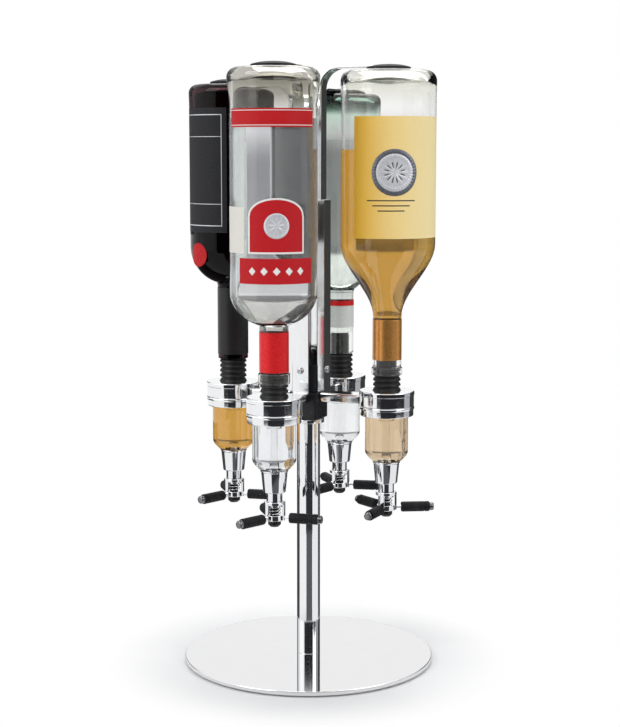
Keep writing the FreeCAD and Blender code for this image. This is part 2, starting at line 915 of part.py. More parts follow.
def bottle(station):
    body = new_body("bottle_%d" % station)
    level = mouth_level
    top = bottle_level(station)
    shape = BOTTLES[station]
    neck = drive("neck_radius_%d" % station, shape["neck"])
    wide = drive("body_radius_%d" % station, shape["body"])
    heel = drive("heel_radius_%d" % station, shape["heel"])
    heel_height = drive("heel_height_%d" % station, shape["heel_height"])
    heel_round = drive("heel_round_%d" % station, shape["heel_round"])
    neck_length = drive("neck_length_%d" % station, shape["neck_length"])
    ring = drive("shoulder_start_%d" % station, shape["shoulder_start"])
    shoulder = drive("shoulder_height_%d" % station, shape["shoulder_height"])
    bulge = drive("shoulder_round_%d" % station, shape["shoulder_round"])
    punt = drive("punt_depth_%d" % station, shape["punt"])
    bore = mouth_bore / 2
    wall = glass_wall
    knee = level + neck_length
    full = knee + shoulder
    floor = top - wall * FLOOR_SHARE
    punt_edge = (heel - heel_round) * PUNT_SHARE
    inset = wall * SHOULDER_WALL_SHARE
    outline = [
        (bore, level),
        (neck, level),
        (neck, knee),
        (ring, knee, bulge, 1),
        (wide, full),
        (wide, top - heel_height),
        (heel, top - heel_height + wall),
        (heel, top - heel_round, heel_round, 1),
        (heel - heel_round, top),
        (punt_edge, top),
        (ZERO, top - punt),
        (ZERO, floor - punt),
        (punt_edge, floor),
        (wide - wall - heel_round, floor),
        (wide - wall, floor - heel_round),
        (wide - wall, full + inset, bulge, -1),
        (ring - inset, knee + wall),
        (bore, knee + wall),
    ]
    revolve(body, "blown", outline)
    place(body, station, circle_radius)


def biarc(start, start_way, end, end_way):
    """Two tangent arcs from start to end, leaving and arriving along the given directions."""
    reach = end - start
    ways = start_way + end_way
    ease = 2 * (1 - start_way.dot(end_way))
    along = reach.dot(ways)
    step = (math.sqrt(along * along + ease * reach.dot(reach)) - along) / ease
    first = start + start_way * step
    second = end - end_way * step
    middle = (first + second) * 0.5
    return [half_arc(start, first, middle), half_arc(middle, second, end)]


def half_arc(start, control, end):
    """The arc from start to end whose tangents meet at control."""
    chord = end - start
    half = chord.Length / 2
    centre = (start + end) * 0.5
    rise = (control - centre).normalize()
    angle = (control - start).getAngle(chord)
    return Part.Arc(start, centre + rise * (half * math.tan(angle / 2)), end).toShape()


def spring_line(radius, low, high, turns, run):
    """The coil's centre line in half turns, with a straight run at each end."""
    pitch = (high - low) / turns
    slope = pitch / (2 * math.pi * radius)
    spots = []
    for half_turn in range(turns * 2 + 1):
        angle = half_turn * math.pi
        spot = FreeCAD.Vector(
            radius * math.cos(angle), radius * math.sin(angle), low + pitch * half_turn / 2
        )
        way = FreeCAD.Vector(-math.sin(angle), math.cos(angle), slope).normalize()
        spots.append((spot, way))
    edges = [Part.LineSegment(spots[0][0] - spots[0][1] * run, spots[0][0]).toShape()]
    for before, after in zip(spots, spots[1:]):
        edges += biarc(before[0], before[1], after[0], after[1])
    edges.append(Part.LineSegment(spots[-1][0], spots[-1][0] + spots[-1][1] * run).toShape())
    return Part.Wire(edges)


def least_gap(line, wire):
    """The least gap between two turns, on points along the centre line."""
    points = line.discretize(240)
    step = line.Length / 239
    apart = int(wire * 4 / step) + 1
    least = min(
        (a - b).Length for i, a in enumerate(points) for b in points[i + apart:]
    )
    return least - wire


def return_spring(station):
    """The coil between the lever's ring and the nose, one unbroken tube."""
    wire = spring_wire.number
    radius = (spring_diameter - spring_wire).number / 2
    low = (lever_ring_top + fit_gap).number + wire
    high = spring_top.number - wire
    line = spring_line(radius, low, high, spring_turns, wire)
    start = line.Edges[0].firstVertex().Point
    way = line.Edges[0].tangentAt(line.Edges[0].FirstParameter)
    ring = Part.Wire(Part.Circle(start, way, wire / 2).toShape())
    shape = line.makePipeShell([ring], True, False)
    share = shape.Volume / (math.pi * wire * wire / 4 * line.Length)
    print("spring %d: least gap %.2f mm, volume share %.3f" % (
        station, least_gap(line, wire), share))
    spring = doc.addObject("Part::Feature", "return_spring_%d" % station)
    spring.Label = "return_spring_%d" % station
    spring.Shape = shape
    angle = math.radians(BEARING[station])
    out = circle_radius.number
    spring.Placement = FreeCAD.Placement(
        FreeCAD.Vector(out * math.cos(angle), out * math.sin(angle), 0),
        FreeCAD.Rotation(FreeCAD.Vector(0, 0, 1), BEARING[station]),
    )
    pieces.append(spring)


def check_and_write():
    doc.recompute()
    for item in doc.Objects:
        if "Invalid" in item.State or "Error" in item.State:
            raise RuntimeError("%s is %s" % (item.Label, item.State))
    os.makedirs("parts", exist_ok=True)
    for piece in pieces:
        if piece.Shape.isNull() or not piece.Shape.isValid():
            raise RuntimeError("%s has no valid shape" % piece.Label)
    for piece in pieces:
        piece.Shape.exportStep("parts/%s.step" % piece.Label)
    print("%d pieces" % len(pieces))


base_disc()
foot_pad()
base_bolt()
post_tube()
spindle()
hub_block()
hub_cap()
hub_screws()
for number in STATIONS:
    arm_channel(number)
    arm_strip(number)
    arm_pad(number)
    bracket(number)
    measure_collar(number)
    measure_chamber(number)
    spout(number)
    push_lever(number)
    lever_grips(number)
    plunger(number)
    stopper(number)
    bottle(number)
    return_spring(number)
check_and_write()
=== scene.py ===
import math

import bmesh
import bpy
import numpy as np
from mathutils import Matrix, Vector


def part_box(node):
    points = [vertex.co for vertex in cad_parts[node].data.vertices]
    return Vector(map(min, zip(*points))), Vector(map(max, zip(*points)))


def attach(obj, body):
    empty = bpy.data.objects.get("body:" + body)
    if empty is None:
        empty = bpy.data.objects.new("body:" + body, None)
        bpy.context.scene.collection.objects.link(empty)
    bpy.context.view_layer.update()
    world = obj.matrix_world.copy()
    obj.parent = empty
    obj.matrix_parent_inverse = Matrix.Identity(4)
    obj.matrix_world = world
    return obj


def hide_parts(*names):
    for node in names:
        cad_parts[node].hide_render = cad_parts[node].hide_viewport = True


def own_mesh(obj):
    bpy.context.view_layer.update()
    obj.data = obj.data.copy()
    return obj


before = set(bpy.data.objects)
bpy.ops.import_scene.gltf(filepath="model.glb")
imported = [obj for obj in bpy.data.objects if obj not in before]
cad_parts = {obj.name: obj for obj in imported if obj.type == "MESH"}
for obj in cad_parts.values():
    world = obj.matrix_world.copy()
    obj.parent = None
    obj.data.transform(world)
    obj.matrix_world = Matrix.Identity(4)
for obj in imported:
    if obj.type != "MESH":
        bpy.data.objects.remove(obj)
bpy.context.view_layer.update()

# A rotary drinks dispenser: four upturned bottles over spring-loaded measures. Lengths are in
# millimetres until a mesh is made; heights are above the underside of the foot pad.

MM = 0.001
STATIONS = (1, 2, 3, 4)
# Degrees about the post: where each station stands, and how far its lever is turned
BEARING = {1: 270, 2: 0, 3: 90, 4: 180}
LEVER_TURN = {1: 8, 2: 28, 3: 14, 4: 9}


def span(node):
    """Lowest and highest corner of a node of the frame, in millimetres."""
    low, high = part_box(node)
    return np.array(low) / MM, np.array(high) / MM


def levels(node):
    """Lowest and highest height of a node, in millimetres."""
    low, high = span(node)
    return low[2], high[2]


# The radius of the circle about the post on which the stations' axes stand
CIRCLE = span("spout_2")[0][0] + (span("spout_2")[1][0] - span("spout_2")[0][0]) / 2


def axis_of(station):
    """Where a station's upright axis stands."""
    angle = math.radians(BEARING[station])
    return CIRCLE * math.cos(angle), CIRCLE * math.sin(angle)


# Materials

# The part of the noise that is used, and how far a plain tone drifts
NOISE_LOW = 0.3
NOISE_HIGH = 0.7
DRIFT = 0.985


def shader(name, **values):
    """A material whose uniform values are set on the shader's own sockets."""
    made = bpy.data.materials.new(name)
    made.use_nodes = True
    principled = made.node_tree.nodes["Principled BSDF"]
    for socket, value in values.items():
        principled.inputs[socket.replace("_", " ")].default_value = value
    return made


def noise(made, scale, detail=4.0, stretch=(1, 1, 1)):
    """Noise on object coordinates, stretched along an axis where the finish has a grain."""
    nodes, links = made.node_tree.nodes, made.node_tree.links
    place = nodes.new("ShaderNodeTexCoord")
    mapping = nodes.new("ShaderNodeMapping")
    mapping.inputs["Scale"].default_value = stretch
    texture = nodes.new("ShaderNodeTexNoise")
    texture.inputs["Scale"].default_value = scale
    texture.inputs["Detail"].default_value = detail
    links.new(place.outputs["Object"], mapping.inputs["Vector"])
    links.new(mapping.outputs["Vector"], texture.inputs["Vector"])
    return texture.outputs["Fac"]


def spread(made, source, socket, low, high):
    """The noise drives a socket between two values."""
    nodes, links = made.node_tree.nodes, made.node_tree.links
    ranged = nodes.new("ShaderNodeMapRange")
    ranged.inputs["From Min"].default_value = NOISE_LOW
    ranged.inputs["From Max"].default_value = NOISE_HIGH
    ranged.inputs["To Min"].default_value = low
    ranged.inputs["To Max"].default_value = high
    links.new(source, ranged.inputs["Value"])
    links.new(ranged.outputs["Result"], nodes["Principled BSDF"].inputs[socket])


def tone(made, source, dark, light):
    """The noise mixes two colours into the base colour."""
    nodes, links = made.node_tree.nodes, made.node_tree.links
    ramp = nodes.new("ShaderNodeValToRGB")
    ramp.color_ramp.elements[0].position = NOISE_LOW
    ramp.color_ramp.elements[0].color = (*dark, 1)
    ramp.color_ramp.elements[1].position = NOISE_HIGH
    ramp.color_ramp.elements[1].color = (*light, 1)
    links.new(source, ramp.inputs["Fac"])
    links.new(ramp.outputs["Color"], nodes["Principled BSDF"].inputs["Base Color"])


def bumps(made, source, strength, depth):
    """The noise as height, of that depth in millimetres."""
    nodes, links = made.node_tree.nodes, made.node_tree.links
    bump = nodes.new("ShaderNodeBump")
    bump.inputs["Strength"].default_value = strength
    bump.inputs["Distance"].default_value = depth * MM
    links.new(source, bump.inputs["Height"])
    links.new(bump.outputs["Normal"], nodes["Principled BSDF"].inputs["Normal"])


def reckoned(tree, operation, first, second):
    """A maths node on two values, each of them a socket or a number."""
    node = tree.nodes.new("ShaderNodeMath")
    node.operation = operation
    for end, value in zip(node.inputs, (first, second)):
        if isinstance(value, float):
            end.default_value = value
        else:
            tree.links.new(value, end)
    return node.outputs[0]


def metal(name, light, rough_low, rough_high, stretch=(1, 1, 1)):
    """Polished or drawn metal: roughness and tone drift, with a fine grain along the drawing."""
    made = shader(name, Metallic=1.0)
    tone(made, noise(made, 60), [c * DRIFT for c in light], light)
    grain = noise(made, 900, 2.0, stretch)
    spread(made, grain, "Roughness", rough_low, rough_high)
    bumps(made, grain, 0.05, 0.02)
    return made


def moulded(name, dark, light, rough_low, rough_high, scale, depth, sheen=0.3):
    """Moulded rubber or plastic: a fine grain in tone, roughness and height."""
    made = shader(name, Specular_IOR_Level=sheen)
    tone(made, noise(made, scale / 8), dark, light)
    grain = noise(made, scale)
    spread(made, grain, "Roughness", rough_low, rough_high)
    bumps(made, grain, 0.35, depth)
    return made


def clear(name, colour, index, ripple, rough=0.0, cloud=0.0, sheen=0.5):
    """Glass or drink: clear through, with the faint ripple of a blown wall and, where it is
    cloudy, a share of its own colour."""
    made = shader(name, Roughness=rough, IOR=index, Transmission_Weight=1.0 - cloud,
                  Specular_IOR_Level=sheen)
    tone(made, noise(made, 25), [c * DRIFT for c in colour], colour)
    bumps(made, noise(made, 35, 1.0), 0.12, ripple)
    return made


def printed(name, dark, light, rough=0.45, metallic=0.0, sheen=0.25):
    """Label paper or foil: fine fibre in the colour and a slight tooth."""
    made = shader(name, Metallic=metallic, Specular_IOR_Level=sheen)
    tone(made, noise(made, 700, 6.0), dark, light)
    tooth = noise(made, 2200)
    spread(made, tooth, "Roughness", rough - 0.06, rough + 0.06)
    bumps(made, tooth, 0.2, 0.03)
    return made


def ramp_along(made, turn, axis, stops, blend="LINEAR"):
    """Colours laid along one axis of the object's coordinates, after a turn about the upright:
    each stop is a place in metres and the colour there, with blends between them."""
    nodes, links = made.node_tree.nodes, made.node_tree.links
    place = nodes.new("ShaderNodeTexCoord")
    mapping = nodes.new("ShaderNodeMapping")
    mapping.inputs["Rotation"].default_value = (0, 0, math.radians(turn))
    apart = nodes.new("ShaderNodeSeparateXYZ")
    ranged = nodes.new("ShaderNodeMapRange")
    first, last = stops[0][0], stops[-1][0]
    ranged.inputs["From Min"].default_value = first
    ranged.inputs["From Max"].default_value = last
    ramp = nodes.new("ShaderNodeValToRGB")
    ramp.color_ramp.interpolation = blend
    for k, (spot, colour) in enumerate(stops):
        if k in (0, len(stops) - 1):
            element = ramp.color_ramp.elements[0 if k == 0 else -1]
        else:
            element = ramp.color_ramp.elements.new((spot - first) / (last - first))
        element.color = (*colour, 1)
    links.new(place.outputs["Object"], mapping.inputs["Vector"])
    links.new(mapping.outputs["Vector"], apart.inputs["Vector"])
    links.new(apart.outputs[axis], ranged.inputs["Value"])
    links.new(ranged.outputs["Result"], ramp.inputs["Fac"])
    return ramp.outputs["Color"]


def graded(made, turn, axis, stops):
    """The colours of a ramp multiplied into the colour that the material had, so its own grain
    stays."""
    nodes, links = made.node_tree.nodes, made.node_tree.links
    mix = nodes.new("ShaderNodeMix")
    mix.data_type = "RGBA"
    mix.blend_type = "MULTIPLY"
    mix.inputs["Factor"].default_value = 1.0
    socket = {end.identifier: end for end in [*mix.inputs, *mix.outputs]}
    base = nodes["Principled BSDF"].inputs["Base Color"]
    links.new(base.links[0].from_socket, socket["A_Color"])
    links.new(ramp_along(made, turn, axis, stops), socket["B_Color"])
    links.new(socket["Result_Color"], base)
    return made


MIRROR = metal("mirror_steel", (0.82, 0.82, 0.825), 0.02, 0.06)
TUBE = metal("chrome_tube", (0.86, 0.87, 0.88), 0.04, 0.08, (1, 1, 0.02))
CHROME = metal("chrome_cast", (0.86, 0.87, 0.88), 0.05, 0.11)
SPOUT = metal("chrome_spout", (0.84, 0.85, 0.87), 0.03, 0.08)
STRIP = metal("chrome_strip", (0.86, 0.87, 0.88), 0.08, 0.16, (1, 1, 0.05))
ZINC = metal("zinc_steel", (0.62, 0.63, 0.65), 0.22, 0.36)
# The lever buttons' chrome is given a dark grey that stands in for the dark surroundings it
# mirrors: painted reflection
CHROME_PAINTED_DARK = metal("chrome_painted_dark", (0.20, 0.20, 0.21), 0.12, 0.22)
WIRE = metal("spring_steel", (0.72, 0.73, 0.74), 0.16, 0.26)
HUB = moulded("hub_black", (0.010, 0.010, 0.012), (0.018, 0.018, 0.021), 0.18, 0.28, 500, 0.03)
PAD = moulded("pad_rubber", (0.006, 0.006, 0.007),
              (0.014, 0.014, 0.015), 0.5, 0.66, 900, 0.05, 0.15)
GRIP = moulded("grip_rubber", (0.005, 0.005, 0.006),
               (0.016, 0.016, 0.018), 0.5, 0.7, 1100, 0.09, 0.2)
NOZZLE = moulded("plunger_black", (0.006, 0.006, 0.007),
                 (0.013, 0.013, 0.015), 0.34, 0.46, 900, 0.03)
CORK = moulded("stopper_rubber", (0.005, 0.005, 0.006),
               (0.013, 0.013, 0.014), 0.34, 0.46, 900, 0.04)
FOAM = moulded("foot_foam", (0.02, 0.02, 0.02), (0.05, 0.05, 0.05), 0.8, 0.95, 1500, 0.15)
ACRYLIC = clear("clear_acrylic", (0.98, 0.985, 0.99), 1.49, 0.02)
ROD = clear("clear_rod", (0.97, 0.97, 0.97), 1.05, 0.0)
# Stops by height in metres that darken the clear, amber and green glass towards their bases, and
# the clear glass also over its shoulder: painted shade
PAINTED_HEEL_SHADE = [(0.300, (0.84, 0.83, 0.80)), (0.345, (0.86, 0.85, 0.82)), (0.362, (1, 1, 1)),
              (0.497, (1, 1, 1)), (0.520, (0.82, 0.81, 0.78)), (0.532, (0.62, 0.60, 0.55)),
              (0.552, (0.50, 0.48, 0.43))]
PAINTED_RIM_SHADE = [(0.520, (1, 1, 1)), (0.540, (0.90, 0.90, 0.86)), (0.552, (0.72, 0.72, 0.66))]
PAINTED_BASE_SHADE = [(0.497, (1, 1, 1)), (0.514, (0.80, 0.88, 0.84)), (0.522, (0.16, 0.24, 0.20)),
              (0.534, (0.10, 0.16, 0.13))]
# Glass by station; the first three take the painted shade by height above
GLASS = {
    1: graded(clear("clear_glass", (0.95, 0.96, 0.96), 1.5, 0.15), 0, "Z", PAINTED_HEEL_SHADE),
    2: graded(clear("amber_glass", (0.98, 0.98, 0.97), 1.5, 0.15), 0, "Z", PAINTED_RIM_SHADE),
    3: graded(clear("green_glass", (0.93, 0.955, 0.93), 1.5, 0.15), 0, "Z", PAINTED_BASE_SHADE),
    4: clear("dark_glass", (0.04, 0.013, 0.016), 1.25, 0.1, sheen=0.1),
}
DRINK = {
    1: clear("clear_drink", (0.90, 0.90, 0.92), 1.34, 0.0, cloud=0.06),
    2: clear("amber_drink", (0.66, 0.36, 0.06), 1.35, 0.0, cloud=0.05),
    3: clear("pale_drink", (0.93, 0.95, 0.93), 1.34, 0.0),
    4: clear("dark_drink", (0.05, 0.012, 0.015), 1.35, 0.0),
}
DOSE = {
    1: clear("clear_dose", (0.90, 0.91, 0.92), 1.34, 0.0, 0.08),
    2: clear("tan_dose", (0.72, 0.54, 0.34), 1.35, 0.0, 0.08),
    3: clear("pale_dose", (0.93, 0.94, 0.94), 1.34, 0.0, 0.08),
    4: clear("golden_dose", (0.68, 0.36, 0.06), 1.35, 0.0, 0.08),
}
RED = printed("red_label", (0.50, 0.014, 0.019), (0.55, 0.017, 0.022), 0.4, sheen=0.12)
WHITE = printed("white_label", (0.80, 0.80, 0.77), (0.86, 0.86, 0.83), 0.5)
CREAM = printed("cream_label", (0.74, 0.72, 0.65), (0.80, 0.78, 0.71), 0.55)
# The gold label's own gold is graded across the bottle from deep orange on the left to pale gold
# on the right: painted shade on the left and painted light on the right
GOLD_TURN = 21.5
GOLD_WITH_PAINTED_LIGHT = graded(printed("gold_label_painted_light", (0.96, 0.96, 0.96), (1.0, 1.0, 1.0), 0.42), -GOLD_TURN, "X", [
    (0.034, (1.0, 0.52, 0.03)), (0.050, (0.98, 0.58, 0.08)), (0.070, (0.95, 0.68, 0.24)),
    (0.112, (1.0, 0.84, 0.45)),
])
CHARCOAL = printed("charcoal_label", (0.022, 0.022, 0.024), (0.030, 0.030, 0.033), 0.55, 0, 0.12)
INK = printed("dark_ink", (0.030, 0.026, 0.022), (0.045, 0.041, 0.035), 0.4)
SILVER = printed("silver_foil", (0.66, 0.67, 0.70), (0.76, 0.77, 0.80), 0.34, 0.35)
PEWTER = printed("pewter_foil", (0.16, 0.17, 0.20), (0.24, 0.25, 0.28), 0.3, 0.6)
RED_FOIL = printed("red_capsule", (0.66, 0.012, 0.016), (0.84, 0.025, 0.028), 0.32, 0.2)
GOLD_FOIL = printed("gold_capsule", (0.62, 0.28, 0.07), (0.76, 0.37, 0.11), 0.3, 0.75)
BLACK_FOIL = printed("black_capsule", (0.010, 0.010, 0.011), (0.020, 0.019, 0.019), 0.34, 0, 0.3)
PALE_FOIL = printed("pale_capsule", (0.70, 0.74, 0.70), (0.82, 0.86, 0.82), 0.35, 0.1)


# Meshes


def put(name, data):
    """A new object in the scene that shows the data."""
    piece = bpy.data.objects.new(name, data)
    bpy.context.scene.collection.objects.link(piece)
    return piece


def grid_faces(rows, columns, wrap_rows, wrap_columns, start):
    """The quads of a grid of points, joined round at the ends that wrap."""
    row = np.arange(rows if wrap_rows else rows - 1)
    column = np.arange(columns if wrap_columns else columns - 1)
    i, j = np.meshgrid(row, column, indexing="ij")
    k, m = (i + 1) % rows, (j + 1) % columns
    corners = [i * columns + j, i * columns + m, k * columns + m, k * columns + j]
    return np.stack(corners, axis=-1).reshape(-1, 4) + start


# The ways a grid wraps when its outline starts and ends on the axis
POLES = (False, True)


def add_piece(name, points, faces, material, body, nodes=(), sharp=32):
    """One finished piece: welded, faced outwards, smooth but for its sharp edges."""
    mesh = bpy.data.meshes.new(name)
    mesh.from_pydata((points * MM).tolist(), [], faces)
    shell = bmesh.new()
    shell.from_mesh(mesh)
    bmesh.ops.remove_doubles(shell, verts=shell.verts, dist=1e-7)
    bare = [edge for edge in shell.edges if not edge.link_faces]
    bmesh.ops.delete(shell, geom=bare, context="EDGES")
    bmesh.ops.recalc_face_normals(shell, faces=shell.faces)
    shell.to_mesh(mesh)
    shell.free()
    mesh.shade_smooth()
    mesh.set_sharp_from_angle(angle=math.radians(sharp))
    mesh.materials.append(material)
    piece = put(name, mesh)
    if nodes:
        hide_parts(*nodes)
    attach(piece, body)
    return piece


def surface(name, grids, material, body, nodes=(), wraps=(True, True)):
    """A piece of one or more grids of points that wrap alike. Its shading leans towards the
    larger faces, so flat stretches look flat."""
    points = np.concatenate([grid.reshape(-1, 3) for grid in grids])
    faces = []
    start = 0
    for grid in grids:
        rows, columns = grid.shape[:2]
        faces += grid_faces(rows, columns, wraps[0], wraps[1], start).tolist()
        start += rows * columns
    piece = add_piece(name, points, faces, material, body, nodes)
    even = piece.modifiers.new("even_shading", "WEIGHTED_NORMAL")
    even.mode = "FACE_AREA"
    even.keep_sharp = True
    return piece


def eased(corners, steps=5):
    """An outline whose corners (x, y, ease) become parabolas: (1-t)^2 a + 2t(1-t) p + t^2 b,
    with a and b at the ease's distance from the corner p on its two sides."""
    spots = [np.array(corner[:2], float) for corner in corners]
    outline = []
    for i, corner in enumerate(corners):
        here = spots[i]
        if len(corner) < 3:
            outline.append(here[None])
            continue
        ends = []
        for other in (spots[i - 1], spots[(i + 1) % len(spots)]):
            way = other - here
            reach = np.linalg.norm(way)
            ends.append(here + way / reach * min(corner[2], reach * 0.45))
        t = np.linspace(0, 1, steps)[:, None]
        outline.append((1 - t) ** 2 * ends[0] + 2 * t * (1 - t) * here + t ** 2 * ends[1])
    return np.concatenate(outline)


def arc(start, end, radius, steps=14):
    """Points of the arc of that radius from start to end, bulging right of the chord if the
    radius is above 0: the centre lies on the chord's middle line."""
    start, end = np.array(start, float), np.array(end, float)
    chord = end - start
    half = np.linalg.norm(chord) / 2
    left = np.array([-chord[1], chord[0]]) / (half * 2)
    centre = (start + end) / 2 + left * math.copysign(math.sqrt(radius ** 2 - half ** 2), radius)
    first, last = start - centre, end - centre
    low = math.atan2(first[1], first[0])
    turn = (math.atan2(last[1], last[0]) - low + math.pi) % (2 * math.pi) - math.pi
    angle = low + turn * np.linspace(0, 1, steps)
    return centre + abs(radius) * np.stack([np.cos(angle), np.sin(angle)], axis=1)


def bow(centre, radius, first, last, steps=20):
    """Points of a circle about a centre, from one angle in degrees to another."""
    angle = np.radians(np.linspace(first, last, steps))
    return np.array(centre) + radius * np.stack([np.cos(angle), np.sin(angle)], axis=1)


def turned(outline, centre=(0, 0), segments=96):
    """An outline (r, z) spun about an upright axis: (cx + r cos a, cy + r sin a, z)."""
    outline = np.asarray(outline, float)
    angle = np.arange(segments) * 2 * math.pi / segments
    radius, height = outline[:, :1], outline[:, 1:2]
    return np.stack([
        centre[0] + radius * np.cos(angle),
        centre[1] + radius * np.sin(angle),
        height + 0 * angle,
    ], axis=2)


def lathe(name, centre, corners, material, body, nodes=(), wraps=(True, True),
          segments=96):
    """A piece whose eased outline (r, z) is spun about an upright axis."""
    return surface(name, [turned(eased(corners), centre, segments)], material, body, nodes,
                   wraps)


def turned_along(outline, centre, heading, level, segments=40):
    """An outline (distance, r) spun about a level axis that leaves the centre at a heading."""
    outline = np.asarray(outline, float)
    angle = np.arange(segments) * 2 * math.pi / segments
    heading = math.radians(heading)
    along, radius = outline[:, :1], outline[:, 1:2]
    side = radius * np.cos(angle)
    return np.stack([
        centre[0] + along * math.cos(heading) - side * math.sin(heading),
        centre[1] + along * math.sin(heading) + side * math.cos(heading),
        level + radius * np.sin(angle),
    ], axis=2)


def prism(name, outlines, low, high, heading, centre, material, body, nodes=(),
          upright=True, bevel=0.4):
    """Outlines drawn out between two levels: upright ones lie flat and rise, the others stand
    on a heading and are as wide as the levels are apart. A bevel softens the edges."""
    turn = math.radians(heading)
    points = []
    faces = []
    start = 0
    for outline in outlines:
        outline = np.asarray(outline, float)
        count = len(outline)
        for level in (low, high):
            first, second = outline[:, 0], outline[:, 1]
            across, up = (second, 0 * first + level) if upright else (0 * first + level, second)
            points.append(np.stack([
                centre[0] + first * math.cos(turn) - across * math.sin(turn),
                centre[1] + first * math.sin(turn) + across * math.cos(turn),
                up,
            ], axis=1))
        i = np.arange(count)
        j = (i + 1) % count
        faces += (np.stack([i, j, j + count, i + count], axis=1) + start).tolist()
        faces += [(i[::-1] + start).tolist(), (i + count + start).tolist()]
        start += count * 2
    piece = add_piece(name, np.concatenate(points), faces, material, body, nodes)
    soften = piece.modifiers.new("soften", "BEVEL")
    soften.width = bevel * MM
    soften.segments = 3
    soften.limit_method = "ANGLE"
    soften.harden_normals = True
    return piece


def on_wall(station, radius, middle, across, height, lift):
    """Places on a bottle's wall: an arc length across from the middle's bearing, seen from the
    front as (sin, -cos), a height, and a lift off the glass."""
    centre = axis_of(station)
    angle = math.radians(middle) + across / radius
    return np.stack([
        centre[0] + (radius + lift) * np.sin(angle),
        centre[1] - (radius + lift) * np.cos(angle),
        height + 0 * angle,
    ], axis=2)


SHEET = 0.05


def paper(name, station, radius, middle, half_width, low, high, lift, material, steps=48):
    """A label: a grid between its lower and its upper edge, which are functions of the arc
    length across, and the same grid a sheet's thickness nearer to the glass. The two meet at
    both ends and are joined along both edges, so the sheet is closed."""
    across = np.linspace(-half_width, half_width, steps)
    bottom = low(across) if callable(low) else low + 0 * across
    top = high(across) if callable(high) else high + 0 * across
    share = np.array([0, 0.25, 0.5, 0.75, 1, 1, 0.75, 0.5, 0.25, 0])[:, None]
    front = np.array([1, 1, 1, 1, 1, 0, 0, 0, 0, 0])[:, None]
    height = bottom + (top - bottom) * share
    inside = np.ones(steps)
    inside[[0, -1]] = 0
    raised = lift - SHEET + SHEET * front * inside
    grid = on_wall(station, radius, middle, across + 0 * height, height, raised)
    surface(name, [grid], material, "carousel", wraps=(True, False))


# A relief's rises in millimetres, and its places as shares of its size
MEDAL_STEPS = 160
DISC_RISE = 0.2
PETAL_RISE = 0.18
PETAL_REACH = 0.7
RIM_RISE = 0.25
RIM_PLACE = 0.88
RIM_WIDTH = 0.07
BEADS = 40
BEAD_RISE = 0.6


def medal(name, station, radius, middle, level, size, lift, petals, material):
    """A round relief: the height swells and falls with the cosine of the petals' angle, inside
    a raised rim whose beads follow a quicker cosine. Its back follows the glass."""
    front = [0, 0.12, 0.3, 0.45, 0.58, 0.7, 0.76, 0.82, 0.88, 0.93, 0.97, 1]
    share = np.array(front + [1, 0.75, 0.5, 0.25, 0])[:, None]
    angle = np.arange(MEDAL_STEPS) * 2 * math.pi / MEDAL_STEPS
    swell = np.sin(np.clip(share / PETAL_REACH, 0, 1) * math.pi)
    flower = PETAL_RISE * np.cos(petals * angle) * swell
    ridge = RIM_RISE * np.exp(-((share - RIM_PLACE) / RIM_WIDTH) ** 2)
    rim = ridge * (1 + BEAD_RISE * np.cos(BEADS * angle))
    raised = lift + DISC_RISE + flower + rim
    raised[len(front):] = lift
    across = size * share * np.cos(angle)
    height = level + size * share * np.sin(angle)
    grid = on_wall(station, radius, middle, across, height, raised)
    surface(name, [grid], material, "carousel", wraps=POLES)


# Base, post and hub

# Radii are from a piece's own axis, and TRIM keeps the visual model inside the CAD box
EDGE = 0.9
TRIM = 0.02
BOLT_HOLE = 7.1
POST_WALL = 1.5
SPINDLE = 6
FLANGE = 15
FLANGE_GAP = 0.3


def base_and_post():
    """The mirror disc and its pad, the post and the spindle's flange."""
    low, high = levels("base_disc")
    radius = span("base_disc")[1][0] - TRIM
    lathe("base_disc_mirror", (0, 0), [
        (BOLT_HOLE, low), (radius, low, EDGE), (radius, high, EDGE), (BOLT_HOLE, high),
    ], MIRROR, "base", ["base_disc"], segments=256)
    foot = span("foot_pad")[1]
    lathe("foot_pad_foam", (0, 0), [
        (0, 0), (foot[0], 0, 0.5), (foot[0], foot[2], 0.2), (0, foot[2]),
    ], FOAM, "base", ["foot_pad"], POLES, 160)
    low, high = span("post_tube")
    bore = high[0] - POST_WALL
    lathe("post_chrome", (0, 0), [
        (bore, low[2]), (high[0], low[2], 0.4), (high[0], high[2], 0.4), (bore, high[2]),
    ], TUBE, "base", ["post_tube"], segments=128)
    low, high = span("spindle")
    flange_low = span("post_tube")[1][2]
    flange_high = span("hub_block")[0][2] - FLANGE_GAP
    lathe("spindle_flange", (0, 0), [
        (0, low[2]), (bore - 0.05, low[2], 0.5), (bore - 0.05, flange_low),
        (FLANGE, flange_low, 0.6), (FLANGE, flange_high, 0.6), (SPINDLE, flange_high),
        (SPINDLE, high[2], 0.8), (0, high[2]),
    ], CHROME, "base", ["spindle"], POLES)


HUB_HALF = 14
NECK_HALF = 12
HUB_CORNER = 1.5
CAP_PLUG = 7.9
CAP_PLUG_DEPTH = 4.9
CAP_RIM = 10.5
CAP_SIDE = 9.45
CAP_CROWN = 7.6
SCREW_START = 8
SCREW_SHANK = 2
SCREW_HEAD = 3.2


def cut_square(half, corner):
    """A square, by half its width, with its four corners cut."""
    inner = half - corner
    return [(half, -inner), (half, inner), (inner, half), (-inner, half),
            (-half, inner), (-half, -inner), (-inner, -half), (inner, -half)]


